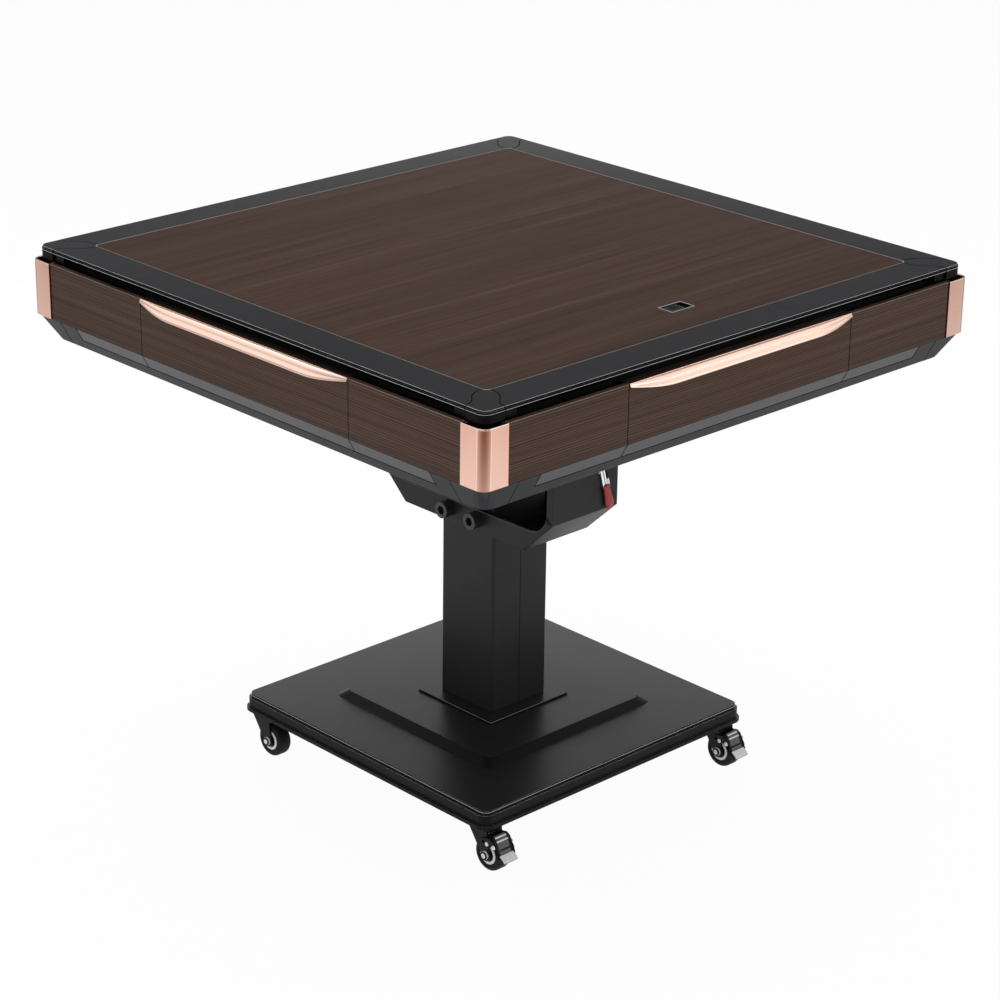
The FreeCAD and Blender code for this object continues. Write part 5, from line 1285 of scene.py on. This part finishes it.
@dataclass
class Drawers:
    """Four drawers with bowed pulls.

    Sizes are in millimetres, and the pull's section is given as shares of its reach and height.
    """

    stations: int = 72
    taper: float = 76.0
    end_reach: float = 2.2
    end_height: float = 4.2
    flange_back: float = 15.0
    flange_thick: float = 0.7
    mat_ribs: int = 22
    mat_levels: Point2 = (679.0, 679.9)
    mat_margins: Point2 = (14.0, 8.0)
    rib_halves: Point2 = (4.0, 3.0)
    section: tuple[Point2, ...] = ((0.0, 0.0), (0.10, 0.0), (0.24, 0.05), (0.38, 0.15), (0.48, 0.26), (0.55, 0.36),
                                   (0.61, 0.46), (0.69, 0.55), (0.80, 0.64), (0.91, 0.74), (0.98, 0.85),
                                   (0.97, 0.95), (0.88, 1.0), (0.70, 0.99), (0.2, 0.78), (0.0, 0.7))

    def build(self) -> None:
        """Dress each drawer and the runners."""
        keep("drawer_runners", BLACK_NYLON, 0.5)
        for side in Side:
            body = f"drawer_{side.label}"
            keep(f"drawer_tray_{side.label}", BLACK_NYLON, 0.5)
            low, high = box_mm("drawer_front_front")
            ends, half = (low.x, high.x), -low.y
            node = [f"drawer_front_{side.label}"]
            board_piece(f"drawer_board_{side.label}", side, ends, half, body, node)
            strip_piece(f"drawer_strip_{side.label}", side, ends, half, body, node)
            self.handle(side, ends[1], half, body)
            self.liner(side, body)

    def handle(self, side: Side, end: float, face: float, body: str) -> None:
        """Make a pull whose straight top edge lies on the board and whose lower lip bows out.

        Args:
            side: The drawer's side of the table.
            end: Half the pull's length, in millimetres as the other sizes.
            face: How far out the drawer's face is.
            body: The body it rides on.
        """
        low, high = box_mm("drawer_handle_front")
        reach, height, top = -low.y - face, high.z - low.z, high.z
        rings = []
        for step in range(self.stations + 1):
            t = -1 + 2 * step / self.stations
            inward = min((1 - abs(t)) * end / self.taper, 1.0)
            swell = math.sin(inward * math.pi / 2)
            depth = self.end_reach + (reach - self.end_reach) * swell
            drop = self.end_height + (height - self.end_height) * swell
            rings.append([Vector((t * end, -face - out * depth, top - down * drop)) * MM
                          for out, down in self.section])
        shape = piece(f"drawer_pull_{side.label}", moved(skin(rings), side.turn), HANDLE_ROSE, body,
                      [f"drawer_handle_{side.label}"])
        smooth(shape, 40)
        flange = block((-end, -face - 0.6, top - 0.25), (end, -face + self.flange_back, top + self.flange_thick))
        round_edges(piece(f"pull_flange_{side.label}", moved(flange, side.turn), HANDLE_ROSE, body), 0.25)

    def liner(self, side: Side, body: str) -> None:
        """Make a ribbed mat on the tray's floor.

        Args:
            side: The drawer's side of the table.
            body: The body it rides on.
        """
        low, high = box_mm("drawer_tray_front")
        beside, before = self.mat_margins
        floor, crest = self.mat_levels
        wide, narrow = self.rib_halves
        pitch = (high.x - low.x - 2 * beside) / (self.mat_ribs - 1)
        ribs = []
        for i in range(self.mat_ribs):
            x = low.x + beside + pitch * i
            outline = [(x - wide, floor), (x + wide, floor), (x + narrow, crest), (x - narrow, crest)]
            ribs.append(bar(outline, Axis.Y, low.y + before, high.y - before))
        piece(f"drawer_mat_{side.label}", moved(joined(ribs), side.turn), ROLLER_RUBBER, body)


@dataclass
class Top:
    """Black top frame, play surface and dining cover with its flush pull; sizes are in millimetres."""

    seam: Point2 = (415.2, 416.9)
    line_size: float = 0.85
    lines: tuple[tuple[str, float, float, float], ...] = (("top", 447.9, 10.9, 770.15), ("low", 449.4, 12.4, 765.6))

    def build(self) -> None:
        """Dress the top."""
        keep("top_frame_rails", FRAME_BLACK, 0.5, 3)
        keep("top_frame_corners", FRAME_BLACK, 0.5, 3)
        # Painted highlights: two thin pale lines along the frame's outer edge.
        for name, half, radius, level in self.lines:
            edge_line(f"frame_{name}_line", half, radius, level, EDGE_HIGHLIGHT_LINE, "head", self.seam, self.line_size)
        keep("play_board", BOARD_BLACK_RECESS_SHADE, 0.4)
        keep("play_felt", FELT_GREEN, 0.3)
        keep("dining_cover", TOP_WOOD, 0.3)
        keep("cover_edge_trim", TRIM_BRIGHT, 0.5)
        keep("pull_bezel", PULL_PLATE, 0.5, 3)
        keep("pull_flap", PULL_LEAF, 0.4)


@dataclass
class Works:
    """Tile lifts, console, drum and electrics inside the head.

    Sizes are in millimetres, and a die is given by its place and its turn in degrees.
    """

    dice_size: float = 9.0
    bowl_depth: float = 10.0
    dice: tuple[Point3, ...] = ((-12.0, 5.0, 20.0), (13.0, -8.0, 55.0))
    rings: Point2 = (49.0, 82.0)
    ring_profile: tuple[Point2, ...] = ((-0.4, 0.0), (0.5, 0.3), (0.5, 1.6), (-0.4, 1.9))

    def build(self) -> None:
        """Dress the works."""
        keep("tile_lifts", WHITE_PLASTIC, 0.6)
        keep("console_body", FRAME_BLACK, 0.5)
        keep("dice_dome", DOME_CLEAR, 0)
        keep("dice_button", BUTTON_RED, 0.6)
        keep("tile_drum", WHITE_PLASTIC, 0.8)
        keep("drive_roller", ROLLER_RUBBER, 0.6)
        keep("drum_motor", MOTOR_DARK, 0.8)
        keep("power_inlet", BLACK_NYLON, 0.5)
        keep("power_rocker", BUTTON_RED, 0.4)
        keep("control_box", WHITE_PLASTIC, 1.0)
        level = box_mm("console_body")[1].z
        self.console_rings(level)
        self.throw(level - self.bowl_depth)

    def console_rings(self, level: float) -> None:
        """Make bright rings round the dice bowl and the console's edge.

        Args:
            level: Level of the console's top, in millimetres.
        """
        rings = [turned([(level + a, radius + r) for a, r in self.ring_profile], Axis.Z, (0.0, 0.0), 96)
                 for radius in self.rings]
        piece("console_rings", joined(rings), RING_ROSE, "console")

    def throw(self, floor: float) -> None:
        """Make two dice with rounded edges that lie in the bowl.

        Args:
            floor: Level of the bowl's floor, in millimetres.
        """
        half = self.dice_size / 2
        for number, (x, y, turn) in enumerate(self.dice, start=1):
            cube = block((-half, -half, 0.0), (half, half, self.dice_size))
            spin = Matrix.Translation(Vector((x, y, floor)) * MM) @ Matrix.Rotation(math.radians(turn), 4, "Z")
            round_edges(piece(f"die_{number}", moved(cube, spin), WHITE_PLASTIC, "console"), 1.2, 3)


@dataclass(frozen=True)
class Lamp:
    """Rectangular area lamp, out of the camera's sight; sizes are in metres and watts."""

    name: str
    place: Point3
    aim: Point3
    size: Point2
    power: float

    def hang(self) -> None:
        """Hang the lamp where it looks at its aim."""
        data = bpy.data.lights.new(self.name, "AREA")
        data.shape = "RECTANGLE"
        data.size, data.size_y = self.size
        data.energy = self.power
        obj = bpy.data.objects.new(self.name, data)
        obj.visible_camera = False
        obj.location = self.place
        obj.rotation_mode = "QUATERNION"
        obj.rotation_quaternion = (Vector(self.aim) - Vector(self.place)).to_track_quat("-Z", "Y")
        bpy.context.scene.collection.objects.link(obj)


TOP_WIDTH = 0.9


@dataclass
class Studio:
    """Floor, lamps, surroundings and camera; the camera's lengths are shares of the table top's width."""

    azimuth: float = -43.809
    elevation: float = 21.882
    roll: float = -0.799
    distance: float = 4.6347 * TOP_WIDTH
    shift_right: float = -0.0074 * TOP_WIDTH
    shift_up: float = -0.0198 * TOP_WIDTH
    aim_height: float = 0.8577 * TOP_WIDTH / 2
    sensor: float = 36.0
    focal_share: float = 2.9256
    floor_size: float = 14.0
    floor_colour: Colour = (0.86, 0.86, 0.86)
    floor_glow: float = 0.965
    far_x: Point2 = (1.0, 1.8)
    far_y: Point2 = (1.4, 2.2)
    far_loss: float = 0.3
    panels: tuple[Point3, ...] = ((0.815, -0.355, 0.457), (-0.457, 0.762, 0.459))
    panel_span: Point2 = (0.64, 0.87)
    panel_light: float = 0.55
    gloss_light: float = 0.07
    soft_light: float = 0.45
    lamps: tuple[Lamp, ...] = (
        Lamp("overhead", (0.3, 0.8, 3.4), (0.0, 0.0, 0.5), (3.2, 3.2), 54.0),
        Lamp("left", (-1.3, 2.3, 2.6), (0.0, 0.0, 0.6), (1.6, 1.6), 5.0),
        Lamp("right", (2.2, -1.2, 2.7), (0.0, 0.0, 0.6), (1.6, 1.6), 5.0),
        Lamp("near_left", (-3.0, -1.2, 1.5), (0.0, 0.0, 0.5), (2.4, 2.4), 22.0),
        Lamp("near_right", (1.6, -3.0, 1.5), (0.0, 0.0, 0.5), (2.4, 2.4), 22.0),
        Lamp("low_back", (1.4, 1.8, 0.6), (-0.1, 0.0, 0.4), (2.6, 1.05), 10.0),
    )

    def build(self) -> None:
        """Set the studio up."""
        self.floor()
        self.surroundings()
        for lamp in self.lamps:
            lamp.hang()
        self.camera()

    def floor(self) -> None:
        """White floor that keeps a faint shadow and shows in gloss, less so far from the table."""
        graph = Graph(bpy.data.materials.new("studio_floor"))
        seen = graph.add("ShaderNodeLightPath")
        mirrored = seen.other("Is Glossy Ray")
        x, y, _ = graph.parts(graph.add("ShaderNodeNewGeometry"))
        far = (x.between(*self.far_x) + y.between(*self.far_y)) * self.far_loss
        lit = graph.add("ShaderNodeBsdfDiffuse", values={"Color": (*self.floor_colour, 1.0)})
        glow = graph.add("ShaderNodeEmission", values={"Color": graph.mix(mirrored * far, WHITE, BLACK)})
        share = (seen + mirrored + seen.other("Is Transmission Ray")) * self.floor_glow
        shader = graph.add("ShaderNodeMixShader", values={0: share, 1: lit, 2: glow})
        graph.add("ShaderNodeOutputMaterial", values={"Surface": shader})
        mesh = bmesh.new()
        bmesh.ops.create_grid(mesh, x_segments=1, y_segments=1, size=self.floor_size)
        data = bpy.data.meshes.new("floor")
        mesh.to_mesh(data)
        mesh.free()
        obj = bpy.data.objects.new("studio_floor", data)
        data.materials.append(graph.owner)
        bpy.context.scene.collection.objects.link(obj)

    def surroundings(self) -> None:
        """White to the camera, soft grey as light, and two soft panels in gloss."""
        world = bpy.data.worlds.new("studio")
        bpy.context.scene.world = world
        graph = Graph(world)
        seen = graph.add("ShaderNodeLightPath")
        glossy = seen.other("Is Glossy Ray")
        way = graph.add("ShaderNodeTexCoord", out=0)
        first, second = (graph.add("ShaderNodeVectorMath", {"operation": "DOT_PRODUCT"}, {0: way, 1: centre}, out=1)
                         for centre in self.panels)
        bright = first.between(*self.panel_span) + second.between(*self.panel_span)
        level = glossy * (self.gloss_light + bright * self.panel_light) + (1 - glossy) * self.soft_light
        strength = seen + (1 - seen) * level
        lit = graph.add("ShaderNodeBackground", values={"Color": (*WHITE, 1.0), "Strength": strength})
        graph.add("ShaderNodeOutputWorld", values={"Surface": lit})

    def camera(self) -> None:
        """Camera where the photograph was taken from."""
        a, e, r = (math.radians(v) for v in (self.azimuth, self.elevation, self.roll))
        back = Vector((math.sin(a) * math.cos(e), -math.cos(a) * math.cos(e), math.sin(e)))
        right = Vector((math.cos(a), math.sin(a), 0.0))
        up = back.cross(right)
        tilted_right = right * math.cos(r) - up * math.sin(r)
        tilted_up = right * math.sin(r) + up * math.cos(r)
        turn = Matrix((tilted_right, tilted_up, back)).transposed()
        aim = Vector((0.0, 0.0, self.aim_height))
        place = aim + back * self.distance - tilted_right * self.shift_right - tilted_up * self.shift_up
        data = bpy.data.cameras.new("camera")
        data.sensor_width = self.sensor
        data.lens = self.sensor * self.focal_share
        data.clip_start, data.clip_end = 0.1, 100.0
        obj = bpy.data.objects.new("camera", data)
        obj.rotation_mode = "QUATERNION"
        obj.location = place
        obj.rotation_quaternion = turn.to_quaternion()
        bpy.context.scene.collection.objects.link(obj)
        bpy.context.scene.camera = obj


def main() -> None:
    """Build the table's looks and its studio."""
    logging.basicConfig(level=logging.INFO, format="%(name)s: %(message)s")
    bpy.context.scene.view_settings.view_transform = "Standard"
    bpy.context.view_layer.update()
    for assembly in (Stand(), Casters(), Latch(), Case(), Drawers(), Top(), Works()):
        log.info("building %s", type(assembly).__name__)
        assembly.build()
    Studio().build()


if __name__ == "__main__":
    main()
